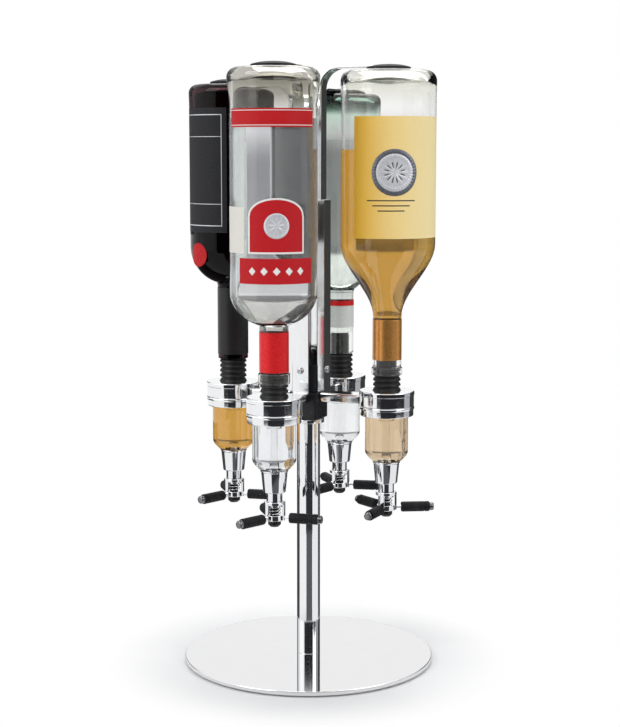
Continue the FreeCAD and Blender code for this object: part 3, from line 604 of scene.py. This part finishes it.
def hub():
    """The turning block with its narrower neck, the cap and the four screws."""
    low, high = span("hub_block")
    shoulder = span("arm_channel_2")[0][2]
    prism("hub_body", [cut_square(HUB_HALF, HUB_CORNER)], low[2], shoulder, 0, (0, 0), HUB,
          "carousel", ["hub_block"], bevel=0.7)
    prism("hub_neck", [cut_square(NECK_HALF, HUB_CORNER)], shoulder, high[2], 0, (0, 0), HUB,
          "carousel", bevel=0.7)
    base = high[2]
    top = span("hub_cap")[1][2]
    lathe("hub_cap_turned", (0, 0), [
        (0, base - CAP_PLUG_DEPTH), (CAP_PLUG, base - CAP_PLUG_DEPTH), (CAP_PLUG, base),
        (CAP_RIM, base, 0.4), (CAP_RIM, base + 1.2, 0.4), (CAP_SIDE, base + 1.4, 0.2),
        (CAP_SIDE, top - 2.4, 1.2), (CAP_CROWN, top, 1.8), (0, top),
    ], HUB, "carousel", ["hub_cap"], POLES)
    level = sum(levels("hub_screws")) / 2
    heads = [turned_along(eased([
        (SCREW_START, 0), (SCREW_START, SCREW_SHANK), (CHANNEL_FRONT, SCREW_SHANK),
        (CHANNEL_FRONT, SCREW_HEAD, 0.2), (20.2, SCREW_HEAD, 0.8), (21, 1.9, 0.4),
        (21, 1.3, 0.1), (20, 1.2), (20, 0),
    ]), (0, 0), BEARING[n], level) for n in STATIONS]
    surface("hub_screw_set", heads, ZINC, "carousel", ["hub_screws"], POLES)


# Bottle arms

# Distances of the channel and the strip are from the post's axis
CHANNEL_BACK = 12
CHANNEL_FRONT = 19
CHANNEL_HALF = 8
CHANNEL_LIP = 4
CHANNEL_WALL = 1
STRIP_BACK = 13.3
STRIP_THICK = 2
STRIP_HALF = 6.7
STRIP_BEND = 20
STRIP_REACH = 86
TONGUE_FRONT = 17.7
TONGUE_HEIGHT = 30
PAD_EDGE = 20
PAD_STEP = 12


def bottle_arm(n):
    """The channel on the hub's neck, the bent strip that slides in it, and its round pad."""
    low, high = levels("arm_channel_%d" % n)
    heading = BEARING[n]
    lip, outer, inner = CHANNEL_LIP, CHANNEL_HALF, CHANNEL_HALF - CHANNEL_WALL
    back, front = CHANNEL_BACK, CHANNEL_FRONT
    deep, shallow = back + CHANNEL_WALL, front - CHANNEL_WALL
    section = [
        (back, lip), (deep, lip), (deep, inner), (shallow, inner), (shallow, -inner),
        (deep, -inner), (deep, -lip), (back, -lip), (back, -outer), (front, -outer),
        (front, outer), (back, outer),
    ]
    prism("channel_%d" % n, [section], low, high, heading, (0, 0), STRIP, "carousel",
          ["arm_channel_%d" % n], bevel=0.3)
    foot, top = levels("arm_strip_%d" % n)
    body = "arm_%d" % n
    back, inner_bend, step = STRIP_BACK, STRIP_BEND - STRIP_THICK, foot + TONGUE_HEIGHT
    turn = (back + STRIP_BEND, top - STRIP_BEND)
    side = np.concatenate([
        [(back, foot), (TONGUE_FRONT, foot), (TONGUE_FRONT, step), (back + STRIP_THICK, step)],
        bow(turn, inner_bend, 180, 90), [(STRIP_REACH, top - STRIP_THICK), (STRIP_REACH, top)],
        bow(turn, STRIP_BEND, 90, 180),
    ])
    prism("strip_%d" % n, [side], -STRIP_HALF, STRIP_HALF, heading, (0, 0), STRIP, body,
          ["arm_strip_%d" % n], upright=False, bevel=0.35)
    base, crown = levels("arm_pad_%d" % n)
    lathe("pad_%d" % n, axis_of(n), [
        (0, base), (PAD_EDGE, base, 0.8), (PAD_EDGE, base + 2.2, 1.4),
        (PAD_STEP, base + 4.3, 5), (0, crown),
    ], PAD, body, ["arm_pad_%d" % n], POLES)


# Measures

# Radii of the ring, collar, chamber and spout, and the heights of their steps
RING = 25
RING_BORE = 22.05
RING_HOLE = 13.1
RING_PLATE = 1.4
BEAD = 25.4
BRACKET_START = -64
BRACKET_END = -23
BRACKET_HEIGHT = 9
COLLAR = 24.6
COLLAR_BORE = 19.85
COLLAR_TOP = 22
COLLAR_HOLE = 9.05
COLLAR_SKIRT = 6
CHAMBER = 19.8
CHAMBER_BORE = 18
CHAMBER_HOLE = 6.55
CHAMBER_WALL = 1.8
CHAMBER_TAPER = 7
SPOUT_TOP = 12.6
SPOUT_NECK = 6.5
SPOUT_CONE = 20.4
SPOUT_FOOT = 9.6
NOSE = 7.2
STEM_BORE = 3.85
POCKET = 6.4
POCKET_DEPTH = 7.2


def measure(n):
    """The bracket's ring and arm, the collar, the clear chamber with its drink and the spout."""
    centre = axis_of(n)
    base, top = levels("ring_bracket_%d" % n)
    lathe("ring_%d" % n, centre, [
        (RING_BORE, base), (RING, base, 0.3), (RING, top - 4.5), (BEAD, top - 4.1),
        (BEAD, top, 1.1), (RING_HOLE, top, 0.3), (RING_HOLE, top - RING_PLATE),
        (RING_BORE, top - RING_PLATE),
    ], CHROME, "carousel", ["ring_bracket_%d" % n])
    outline = eased([
        (BRACKET_START, -8), (BRACKET_END, -10), (BRACKET_END, 10), (BRACKET_START, 8),
    ])
    prism("ring_arm_%d" % n, [outline], base, base + BRACKET_HEIGHT, BEARING[n], centre, CHROME,
          "carousel", bevel=1.6)
    base, top = levels("measure_collar_%d" % n)
    bead = base + COLLAR_SKIRT
    lathe("collar_%d" % n, centre, [
        (COLLAR_BORE, base), (COLLAR, base, 0.8), (COLLAR, bead, 0.2), (BEAD, bead, 1.4),
        (BEAD, bead + 3, 1.4), (COLLAR_TOP, bead + 3), (COLLAR_TOP, top), (COLLAR_HOLE, top),
        (COLLAR_HOLE, bead + 4), (3, bead + 4), (3, bead), (COLLAR_BORE, bead),
    ], CHROME, "carousel", ["measure_collar_%d" % n])
    base, top = levels("measure_chamber_%d" % n)
    lathe("chamber_%d" % n, centre, [
        (CHAMBER_HOLE, base), (13, base, 1.2), (CHAMBER, base + CHAMBER_TAPER, 3),
        (CHAMBER, top), (CHAMBER_BORE, top), (CHAMBER_BORE, base + 7.9, 2.6),
        (12.1, base + CHAMBER_WALL, 1), (CHAMBER_HOLE, base + CHAMBER_WALL),
    ], ACRYLIC, "carousel", ["measure_chamber_%d" % n])
    lathe("dose_%d" % n, centre, [
        (0, base + 1.78), (12.1, base + 1.78, 1), (18.03, base + 7.9, 2.6), (18.03, top - 0.4),
        (0, top - 0.4),
    ], DOSE[n], "carousel", wraps=POLES)
    base, top = levels("spout_%d" % n)
    rim = top - 3
    low = rim - SPOUT_CONE
    lathe("spout_turned_%d" % n, centre, [
        (STEM_BORE, top), (STEM_BORE, base + POCKET_DEPTH), (POCKET, base + POCKET_DEPTH),
        (POCKET, base), (NOSE, base, 0.3), (NOSE, low, 0.2), (SPOUT_FOOT, low, 0.4),
        (10.2, low + 0.6, 0.3), (12, rim - 1.8, 0.3), (SPOUT_TOP, rim - 1.2, 0.3),
        (SPOUT_TOP, rim, 0.3), (SPOUT_NECK, rim), (SPOUT_NECK, top),
    ], SPOUT, "carousel", ["spout_%d" % n])


# A lever's arms, buttons and grips start and end at a distance from its own axis
BUTTON = 3.7
BUTTON_START = 40.5
BUTTON_END = 44.5
LEVER_RING = 8.6
LEVER_RING_HEIGHT = 5
CAGE = 9.7
STRAP_HALF = 2
LEVER_ROD = 1.7
LEVER_ROD_START = 6.05
LEVER_ROD_END = 40.6
GRIP_BORE = 1.75
GRIP_OUT = 4.7
GRIP_GROOVE = 4.1
GRIP_START = 14
GRIP_END = 40.4
STEM = 3.8
VALVE = 5.8
SEAL = 6
THIN_ROD = 2
ROD_HEAD = 5


def lever(n):
    """The ring, cage and three arms that a glass pushes up, with the buttons at their ends,
    the grips, the plunger and the spring."""
    centre = axis_of(n)
    body = "lever_%d" % n
    low, top = levels("push_lever_%d" % n)
    level = low + BUTTON
    base = level - 2.5
    headings = [LEVER_TURN[n] + 120 * k for k in range(3)]
    grids = [
        turned(eased([
            (STEM_BORE, base), (LEVER_RING, base, 0.6),
            (LEVER_RING, base + LEVER_RING_HEIGHT, 0.6), (STEM_BORE, base + LEVER_RING_HEIGHT),
        ]), centre),
        turned(eased([(7.5, top - 3), (CAGE, top - 3, 0.4), (CAGE, top, 0.6), (7.5, top)]),
               centre),
    ]
    surface("lever_rings_%d" % n, grids, SPOUT, body, ["push_lever_%d" % n])
    arms = [turned_along(eased([
        (LEVER_ROD_START, 0), (LEVER_ROD_START, LEVER_ROD), (LEVER_ROD_END, LEVER_ROD),
        (LEVER_ROD_END, 0),
    ]), centre, heading, level) for heading in headings]
    surface("lever_arms_%d" % n, arms, SPOUT, body, wraps=POLES)
    # The chrome buttons' dark grey is a painted reflection
    buttons = [turned_along(eased([
        (BUTTON_START, 0), (BUTTON_START, BUTTON, 0.3), (BUTTON_END - TRIM, BUTTON, 1.6),
        (BUTTON_END - TRIM, 0),
    ]), centre, heading, level) for heading in headings]
    surface("lever_buttons_%d" % n, buttons, CHROME_PAINTED_DARK, body, wraps=POLES)
    strap = [(7.8, -STRAP_HALF), (CAGE, -STRAP_HALF), (CAGE, STRAP_HALF), (7.8, STRAP_HALF)]
    for k, heading in enumerate(headings):
        prism("lever_strap_%d_%d" % (n, k + 1), [strap], base, top, heading, centre, SPOUT,
              body, bevel=0.4)
    grips = [turned_along(eased([
        (GRIP_START, GRIP_BORE), (GRIP_END, GRIP_BORE), (GRIP_END, GRIP_OUT, 1.2),
        (36.3, GRIP_OUT, 0.2), (35.7, GRIP_GROOVE, 0.3), (35.1, GRIP_OUT, 0.2),
        (GRIP_START, GRIP_OUT, 1.6),
    ]), centre, heading, level) for heading in headings]
    surface("grips_%d" % n, grips, GRIP, body, ["lever_grips_%d" % n])
    low, high = levels("plunger_%d" % n)
    seat = span("spout_%d" % n)[1][2] + 0.3
    lathe("plunger_turned_%d" % n, centre, [
        (0, low + 6), (THIN_ROD, low + 6), (THIN_ROD, low), (STEM, low, 0.3),
        (VALVE, low + 2, 0.4), (VALVE, low + 5.95), (STEM, low + 5.95), (STEM, seat),
        (SEAL, seat, 0.3), (SEAL, seat + 2.6, 1), (0, seat + 2.6),
    ], NOZZLE, body, ["plunger_%d" % n], POLES, 64)
    lathe("plunger_rod_%d" % n, centre, [
        (0, seat + 2.62), (3.4, seat + 2.62), (THIN_ROD, seat + 6, 2), (THIN_ROD, high - 3),
        (ROD_HEAD, high - 3, 0.4), (ROD_HEAD, high, 0.4), (0, high),
    ], ROD, body, wraps=POLES, segments=64)
    spring(n)


COIL = 5.4
COIL_WIRE = 0.5
COIL_TURNS = 4.4
COIL_STEPS = 260
WIRE_STEPS = 12
# The share of the coil over which the wire comes to its end
COIL_END = 0.004


def spring(n):
    """The return spring: a circle of the wire carried along a helix, shrinking at both ends."""
    centre = axis_of(n)
    low, high = levels("return_spring_%d" % n)
    wire, radius, turns = COIL_WIRE, COIL, COIL_TURNS
    share = np.linspace(0, 1, COIL_STEPS)[:, None]
    angle = share * turns * 2 * math.pi + math.radians(BEARING[n])
    climb = (high - low - 2 * wire) / (turns * 2 * math.pi * radius)
    round_wire = np.arange(WIRE_STEPS) * 2 * math.pi / WIRE_STEPS
    left = np.clip(np.minimum(share, 1 - share) / COIL_END, 0, 1)
    end = np.sqrt(np.clip(1 - (1 - left) ** 2, 0, 1))
    out = radius + wire * end * np.cos(round_wire)
    rise = wire * end * np.sin(round_wire)
    grid = np.stack([
        centre[0] + out * np.cos(angle) + rise * climb * np.sin(angle),
        centre[1] + out * np.sin(angle) - rise * climb * np.cos(angle),
        low + wire + (high - low - 2 * wire) * share + rise,
    ], axis=2)
    coil = surface("spring_%d" % n, [grid], WIRE, "carousel", ["return_spring_%d" % n],
                   POLES)
    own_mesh(coil)


# Stoppers and bottles

# Each bottle: neck, body and heel radius, then the heights and curves of its profile
BOTTLE = {
    1: dict(neck=12.9, body=38.7, heel=40.9, heel_height=32, heel_round=9, neck_length=44.8,
            ring=19.7, shoulder=23, bulge=34, punt=4, drink=508),
    2: dict(neck=13.0, body=43.0, heel=43.3, heel_height=24, heel_round=10, neck_length=49,
            ring=13.6, shoulder=56, bulge=62, punt=8, drink=481, taper=(-3, 63)),
    3: dict(neck=13.2, body=37.6, heel=38, heel_height=24, heel_round=7, neck_length=62,
            ring=14.0, shoulder=48, bulge=60, punt=10, drink=490),
    4: dict(neck=14.2, body=39.6, heel=40, heel_height=24, heel_round=8, neck_length=72,
            ring=15.0, shoulder=34, bulge=36, punt=8, drink=500),
}
BORE = 9.15
WALL = 3
HEEL_FLAT = 0.8
STOPPER_DEPTH = 20.2
# The thick glass lip round the stopper: its lower edge and its radius
LIP = {1: (274.5, 14.2), 2: (277.0, 14.0)}
RIBS = 5
RIB = 12.8
RIB_EDGE = 12.4
RIB_ROOT = 11.1
STOPPER_HOLE = 3
STOPPER_PLUG = 9


def stopper(n):
    """The ribbed rubber stopper, a saw-toothed outline between the ring and the mouth, and at
    two stations the thick glass lip round it."""
    low, high = levels("stopper_%d" % n)
    mouth = span("bottle_%d" % n)[0][2]
    seat = span("ring_bracket_%d" % n)[1][2] - RING_PLATE
    pitch = (mouth - seat) / RIBS
    outline = [(STOPPER_HOLE, low), (STOPPER_PLUG, low), (STOPPER_PLUG, seat)]
    for rib in range(RIBS):
        level = seat + pitch * rib
        outline += [(RIB_ROOT, level + pitch * 0.12, 0.2), (RIB, level + pitch * 0.3, 0.25)]
        outline += [(RIB_EDGE, level + pitch * 0.62, 0.5), (RIB_ROOT, level + pitch * 0.95, 0.2)]
    outline += [(12.6, mouth, 0.3), (9.1, mouth), (9.1, high - 2, 0.5), (8, high, 0.5),
                (STOPPER_HOLE, high)]
    lathe("stopper_moulded_%d" % n, axis_of(n), outline, CORK, "carousel",
          ["stopper_%d" % n])
    if n in LIP:
        low, radius = LIP[n]
        lathe("lip_%d" % n, axis_of(n), [
            (12.9, low, 0.3), (radius, low, 1.2), (radius, mouth - 0.8, 1.2),
            (BOTTLE[n]["neck"], mouth - 0.1), (12.85, mouth - 0.1),
        ], GLASS[n], "carousel")


def shoulder(shape, knee, narrow, wide, low, high):
    """The way from the neck out to the body: an arc between two heights above the knee or, on a
    tapered bottle, the smooth step t*t*(3 - 2t) of the radius between the taper's heights."""
    if "taper" not in shape:
        return arc((narrow, knee + low), (wide, knee + shape["shoulder"] + high), shape["bulge"])
    start, end = shape["taper"]
    t = np.linspace(0, 1, 26)[1:]
    narrow = shape["neck"] if low == 0 else BORE
    return np.stack([narrow + (wide - narrow) * t * t * (3 - 2 * t),
                     knee + start + high + (end - start) * t], axis=1)


def bottle(n):
    """The blown bottle upside down, and the drink that fills it up to its level."""
    shape = BOTTLE[n]
    centre = axis_of(n)
    mouth, top = levels("bottle_%d" % n)
    neck, wide, heel = shape["neck"], shape["body"], shape["heel"] - TRIM
    rim = 0.8
    knee = mouth + shape["neck_length"]
    floor = top - WALL * 1.5
    turn = shape["heel_round"]
    inset = WALL * 0.6
    inner = wide - WALL
    bend = knee + (shape["taper"][0] + inset if "taper" in shape else WALL)
    outline = np.concatenate([
        bow((neck - rim, mouth + rim), rim, -90, 0, 6),
        [(neck, knee - 3)],
        shoulder(shape, knee, shape["ring"], wide, 0, 0),
        [(wide, top - shape["heel_height"])],
        arc((heel, top - turn), (heel - turn, top), turn),
        [((heel - turn) * HEEL_FLAT, top), (0, top - shape["punt"])],
    ])
    cavity = np.concatenate([
        [(0, floor - shape["punt"]), ((heel - turn) * HEEL_FLAT, floor)],
        arc((inner - turn, floor), (inner, floor - turn), -turn),
        shoulder(shape, knee, shape["ring"] - inset, inner, WALL, inset)[::-1],
        [(BORE, bend), (BORE, mouth)],
    ])
    surface("glass_%d" % n, [turned(np.concatenate([outline, cavity, outline[:1]]), centre, 144)],
            GLASS[n], "carousel", ["bottle_%d" % n], POLES)
    level = shape["drink"]
    grow = 0.04
    drink = np.concatenate([
        [(0, mouth + STOPPER_DEPTH), (BORE + grow, mouth + STOPPER_DEPTH), (BORE + grow, bend)],
        shoulder(shape, knee, shape["ring"] - inset, inner, WALL, inset) + [grow, 0],
        [(inner + grow, level), (0, level)],
    ])
    surface("drink_%d" % n, [turned(drink, centre, 144)], DRINK[n], "carousel", wraps=POLES)


# Capsules by station, lower and upper height, radius and foil
CAPSULES = {
    "capsule_red": (1, 285.2, 321, 13.2, RED_FOIL),
    "capsule_gold": (2, 291, 328, 13.3, GOLD_FOIL),
    "capsule_pale": (3, 310, 331, 13.5, PALE_FOIL),
    "capsule_garnet": (3, 331.2, 336, 13.6, RED_FOIL),
    "capsule_black": (4, 289, 352, 14.5, BLACK_FOIL),
}
FOIL = 0.3
ROLL = 0.1
ROLL_HEIGHT = 1.2


def capsule(name, n, low, high, radius, material):
    """A thin sleeve on the neck: an outline spun about it, with a rolled edge at both ends."""
    inside, rolled = radius - FOIL, radius + ROLL
    lathe(name, axis_of(n), [
        (inside, low), (rolled, low, 0.3), (radius, low + ROLL_HEIGHT, 0.3),
        (radius, high - ROLL_HEIGHT, 0.3), (rolled, high, 0.3), (inside, high),
    ], material, "carousel")


# Labels of the maker's own design

# The bearing that the front labels face, and how far a sheet lies off the glass
FRONT = 28
ON_GLASS = 0.08
ON_LABEL = 0.12


def arch(half_width, side, rise):
    """An arch's upper edge over the arc length s: side + rise * sqrt(1 - (s / half width)^2)."""
    return lambda s: side + rise * np.sqrt(np.clip(1 - (s / half_width) ** 2, 0, 1))


def clear_bottle_labels():
    """A red band with two white lines, an arched red panel with a rosette, a red foot band with
    a row of lozenges, and a plain cream label further round."""
    wall = BOTTLE[1]["body"]
    paper("label_1_band", 1, wall, middle=20, half_width=44, low=500, high=516,
          lift=ON_GLASS, material=RED)
    for k, level in enumerate((501.4, 514)):
        paper("label_1_band_line_%d" % (k + 1), 1, wall, middle=20, half_width=44, low=level,
              high=level + 0.6, lift=ON_LABEL, material=WHITE)
    paper("label_1_arch_edge", 1, wall, middle=FRONT, half_width=26, low=392,
          high=arch(26, 424, 16), lift=ON_GLASS, material=WHITE)
    paper("label_1_arch", 1, wall, middle=FRONT, half_width=24.4, low=393.6,
          high=arch(24.4, 423.4, 15), lift=ON_LABEL, material=RED)
    medal("label_1_rosette", 1, wall, middle=FRONT, level=416, size=11, lift=0.14, petals=8,
          material=SILVER)
    paper("label_1_foot", 1, wall, middle=FRONT, half_width=36, low=366, high=388,
          lift=ON_GLASS, material=RED)
    heart = 377
    rise = 3.6
    slope = 1.1
    for k, across in enumerate((-22, -11, 0, 11, 22)):
        paper("label_1_lozenge_%d" % (k + 1), 1, wall,
              middle=FRONT + math.degrees(across / wall), half_width=3.2,
              low=lambda s: heart - rise + np.abs(s) * slope,
              high=lambda s: heart + rise - np.abs(s) * slope,
              lift=ON_LABEL, material=WHITE, steps=9)
    paper("label_1_back", 1, wall, middle=-42, half_width=17, low=392, high=432,
          lift=ON_GLASS, material=CREAM)


def amber_bottle_labels():
    """A golden panel with painted shade and light across it, a dark-rimmed sun and three rules,
    each shorter than the last.
    """
    wall = BOTTLE[2]["body"]
    # The panel's gold carries painted shade on its left and painted light on its right
    paper("label_2_panel", 2, wall, middle=42, half_width=49.5, low=403, high=510,
          lift=ON_GLASS, material=GOLD_WITH_PAINTED_LIGHT)
    medal("label_2_sun_rim", 2, wall, middle=FRONT, level=461, size=20.5, lift=0.1, petals=0,
          material=PEWTER)
    medal("label_2_sun", 2, wall, middle=FRONT, level=461, size=16.5, lift=0.35, petals=12,
          material=SILVER)
    for k, level in enumerate((436, 431.5, 427)):
        paper("label_2_rule_%d" % (k + 1), 2, wall, middle=24, half_width=22 - 5 * k, low=level,
              high=level + 1, lift=ON_LABEL, material=INK)


def dark_bottle_labels():
    """A charcoal panel with a thin silver frame, and a red seal below it."""
    wall = BOTTLE[4]["body"]
    turn = -26
    half = 26
    paper("label_4_panel", 4, wall, middle=turn, half_width=31, low=405, high=519,
          lift=ON_GLASS, material=CHARCOAL)
    for k, (low, high) in enumerate(((411, 411.8), (512.2, 513), (431, 431.5), (492.5, 493))):
        paper("label_4_line_%d" % (k + 1), 4, wall, middle=turn, half_width=half, low=low,
              high=high, lift=ON_LABEL, material=SILVER)
    for k, across in enumerate((-half, half)):
        paper("label_4_side_%d" % (k + 1), 4, wall, middle=turn + math.degrees(across / wall),
              half_width=0.4, low=411, high=513, lift=ON_LABEL, material=SILVER, steps=3)
    medal("label_4_seal", 4, wall, middle=-27, level=384, size=11, lift=0.1, petals=6,
          material=RED)


# The studio, with its lengths in metres


def card(name, low_bearing, high_bearing, near, far, low, high, colour=None, tones=None):
    """A curved card round the stand, out of sight. It lies level from its near to its far edge
    at its lower height, and stands up there to its upper one. The chrome mirrors a card of one
    colour; a card with tones by height shows through the glass and the drinks instead."""
    turns = np.linspace(VIEW_BEARING + low_bearing, VIEW_BEARING + high_bearing, CARD_STEPS)
    bearing = np.radians(turns)
    distance = np.array([near, far, far + 0.001])[:, None]
    height = np.array([low, low, high])[:, None]
    points = np.stack([
        distance * np.sin(bearing) + 0 * height,
        -distance * np.cos(bearing) + 0 * height,
        height + 0 * bearing,
    ], axis=2)
    mesh = bpy.data.meshes.new(name)
    faces = grid_faces(3, CARD_STEPS, False, False, 0)
    mesh.from_pydata(points.reshape(-1, 3).tolist(), [], faces.tolist())
    made = bpy.data.materials.new(name)
    made.use_nodes = True
    nodes = made.node_tree.nodes
    nodes.clear()
    glow = nodes.new("ShaderNodeEmission")
    if tones:
        made.node_tree.links.new(ramp_along(made, 0, "Z", tones, "EASE"), glow.inputs["Color"])
    else:
        glow.inputs["Color"].default_value = (*colour, 1)
    output = nodes.new("ShaderNodeOutputMaterial")
    made.node_tree.links.new(glow.outputs["Emission"], output.inputs["Surface"])
    mesh.materials.append(made)
    piece = put(name, mesh)
    piece.visible_camera = False
    piece.visible_diffuse = False
    piece.visible_shadow = False
    piece.visible_glossy = tones is None
    piece.visible_transmission = tones is not None


VIEW_BEARING = 23.1
ROOM = 2.6
LAID = 0.004
NEAR = 0.124
MIDDLE = 1.34
CARD_STEPS = 24
# Cards by their two bearings from the view, near and far edge, lower and upper height, colour
CARDS = {
    "front_far": (-42, 76, MIDDLE, ROOM, LAID, 0.95, (0.018, 0.018, 0.022)),
    "front_low": (-25, 40, 0.5, MIDDLE, LAID, 0.006, (0.03, 0.031, 0.035)),
    "front_near": (-21, 36, NEAR, 0.5, LAID, 0.006, (0.11, 0.11, 0.12)),
    "right_near": (46, 104, NEAR, MIDDLE, LAID, 0.006, (0.93, 0.93, 0.95)),
    "right_far": (76, 108, MIDDLE, ROOM, LAID, 1.6, (0.42, 0.43, 0.45)),
    "left_edge": (-165, -98, NEAR, MIDDLE, LAID, 0.006, (0.06, 0.06, 0.065)),
    "right_edge": (106, 165, NEAR, MIDDLE, LAID, 0.006, (0.08, 0.08, 0.085)),
    "right_back": (108, 165, MIDDLE, ROOM, LAID, 1.5, (0.045, 0.045, 0.045)),
    "left_back": (-165, -125, ROOM - 0.01, ROOM, 0.27, 1.5, (0.22, 0.22, 0.23)),
    "softbox": (-97, -50, ROOM - 0.01, ROOM, LAID, 1.9, (1.3, 1.3, 1.3)),
}
# A grey card behind the stand that only the drinks and the glass show, and its tones by height
BEHIND = (153, 214, ROOM - 0.01, ROOM, LAID, 0.62)
BEHIND_TONES = [(0.08, (1, 1, 1)), (0.24, (0.32, 0.32, 0.33)), (0.47, (0.26, 0.26, 0.27)),
                (0.60, (1, 1, 1))]

# Lamps by their turn from the view, distance, height, side and power
LAMPS = (
    ("key_lamp", -55, 1.7, 1.5, 1.2, 16),
    ("fill_lamp", 60, 1.9, 1.2, 1.2, 11),
    ("top_lamp", 170, 0.9, 1.9, 1.4, 16),
)
LAMP_AIM = 0.3
ROOM_LIGHT = 0.42
FLOOR_SIDE = 6.0
# The floor: distances from the post where its white sets in and where it is all white
WHITE_FROM = 0.112
WHITE_FULL = 0.2
# The camera: distance from the post and height in metres, tilt and turn aside in degrees
CAMERA_DISTANCE = 1.481
CAMERA_HEIGHT = 0.4805
CAMERA_TILT = 7.6
CAMERA_ASIDE = 0.054
LENS = 79.2
SENSOR = 36


def pale_floor():
    """A pale floor that takes the stand's shadow near it and is plain white further out, for
    the camera, mirrors and glass alike: the share of white rises with distance from the post."""
    made = shader("pale_floor", Base_Color=(0.93, 0.93, 0.93, 1), Roughness=0.9)
    nodes, links = made.node_tree.nodes, made.node_tree.links
    place = nodes.new("ShaderNodeTexCoord")
    reach = nodes.new("ShaderNodeVectorMath")
    reach.operation = "LENGTH"
    far = nodes.new("ShaderNodeMapRange")
    far.interpolation_type = "SMOOTHSTEP"
    far.inputs["From Min"].default_value = WHITE_FROM
    far.inputs["From Max"].default_value = WHITE_FULL
    links.new(place.outputs["Object"], reach.inputs[0])
    links.new(reach.outputs["Value"], far.inputs["Value"])
    path = nodes.new("ShaderNodeLightPath")
    seen = reckoned(made.node_tree, "SUBTRACT", 1.0, path.outputs["Is Diffuse Ray"])
    share = reckoned(made.node_tree, "MULTIPLY", far.outputs["Result"], seen)
    white = nodes.new("ShaderNodeEmission")
    mix = nodes.new("ShaderNodeMixShader")
    links.new(share, mix.inputs["Fac"])
    links.new(nodes["Principled BSDF"].outputs["BSDF"], mix.inputs[1])
    links.new(white.outputs["Emission"], mix.inputs[2])
    links.new(mix.outputs["Shader"], nodes["Material Output"].inputs["Surface"])
    return made


def studio():
    """A white room with dark cards before the stand and beside it, a softbox on its left, grey
    cards on its right, a card behind that only glass and drink show, a pale floor and three
    soft lamps."""
    world = bpy.data.worlds.new("white_room")
    bpy.context.scene.world = world
    world.use_nodes = True
    nodes, links = world.node_tree.nodes, world.node_tree.links
    nodes.clear()
    path = nodes.new("ShaderNodeLightPath")
    seen = path.outputs["Is Camera Ray"]
    for ray in ("Is Glossy Ray", "Is Transmission Ray"):
        seen = reckoned(world.node_tree, "MAXIMUM", seen, path.outputs[ray])
    mix = nodes.new("ShaderNodeMixShader")
    lamp = nodes.new("ShaderNodeBackground")
    lamp.inputs["Color"].default_value = (0.95, 0.97, 1.0, 1)
    lamp.inputs["Strength"].default_value = ROOM_LIGHT
    shown = nodes.new("ShaderNodeBackground")
    shown.inputs["Color"].default_value = (1, 1, 1, 1)
    shown.inputs["Strength"].default_value = 1.0
    output = nodes.new("ShaderNodeOutputWorld")
    links.new(seen, mix.inputs["Fac"])
    links.new(lamp.outputs[0], mix.inputs[1])
    links.new(shown.outputs[0], mix.inputs[2])
    links.new(mix.outputs[0], output.inputs["Surface"])

    for name, places in CARDS.items():
        card("card_" + name, *places)
    card("card_behind", *BEHIND, tones=BEHIND_TONES)

    side = FLOOR_SIDE
    mesh = bpy.data.meshes.new("floor")
    mesh.from_pydata([(-side, -side, 0), (side, -side, 0), (side, side, 0), (-side, side, 0)],
                     [], [(0, 1, 2, 3)])
    mesh.materials.append(pale_floor())
    floor = put("floor", mesh)

    for name, turn, distance, height, size, power in LAMPS:
        data = bpy.data.lights.new(name, "AREA")
        data.shape = "SQUARE"
        data.size = size
        data.energy = power
        piece = put(name, data)
        angle = math.radians(VIEW_BEARING + turn)
        spot = np.array([distance * math.sin(angle), -distance * math.cos(angle), height])
        piece.location = spot
        aim = np.array([0, 0, LAMP_AIM]) - spot
        level = math.hypot(aim[0], aim[1])
        piece.rotation_euler = (math.atan2(level, -aim[2]), 0, math.atan2(-aim[0], aim[1]))


def camera():
    """The photograph's view: a long lens at the height of the upper labels, looking slightly
    down."""
    data = bpy.data.cameras.new("camera")
    data.lens = LENS
    data.sensor_width = SENSOR
    piece = put("camera", data)
    bearing = math.radians(VIEW_BEARING)
    piece.location = (CAMERA_DISTANCE * math.sin(bearing), -CAMERA_DISTANCE * math.cos(bearing),
                      CAMERA_HEIGHT)
    piece.rotation_euler = (math.radians(90 - CAMERA_TILT), 0,
                            math.radians(VIEW_BEARING - CAMERA_ASIDE))
    bpy.context.scene.camera = piece
    bpy.context.scene.view_settings.view_transform = "Standard"


base_and_post()
hub()
for number in STATIONS:
    bottle_arm(number)
    measure(number)
    lever(number)
    stopper(number)
    bottle(number)
for title, places in CAPSULES.items():
    capsule(title, *places)
clear_bottle_labels()
amber_bottle_labels()
dark_bottle_labels()
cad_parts["base_bolt"].data.materials.clear()
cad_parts["base_bolt"].data.materials.append(ZINC)
studio()
camera()
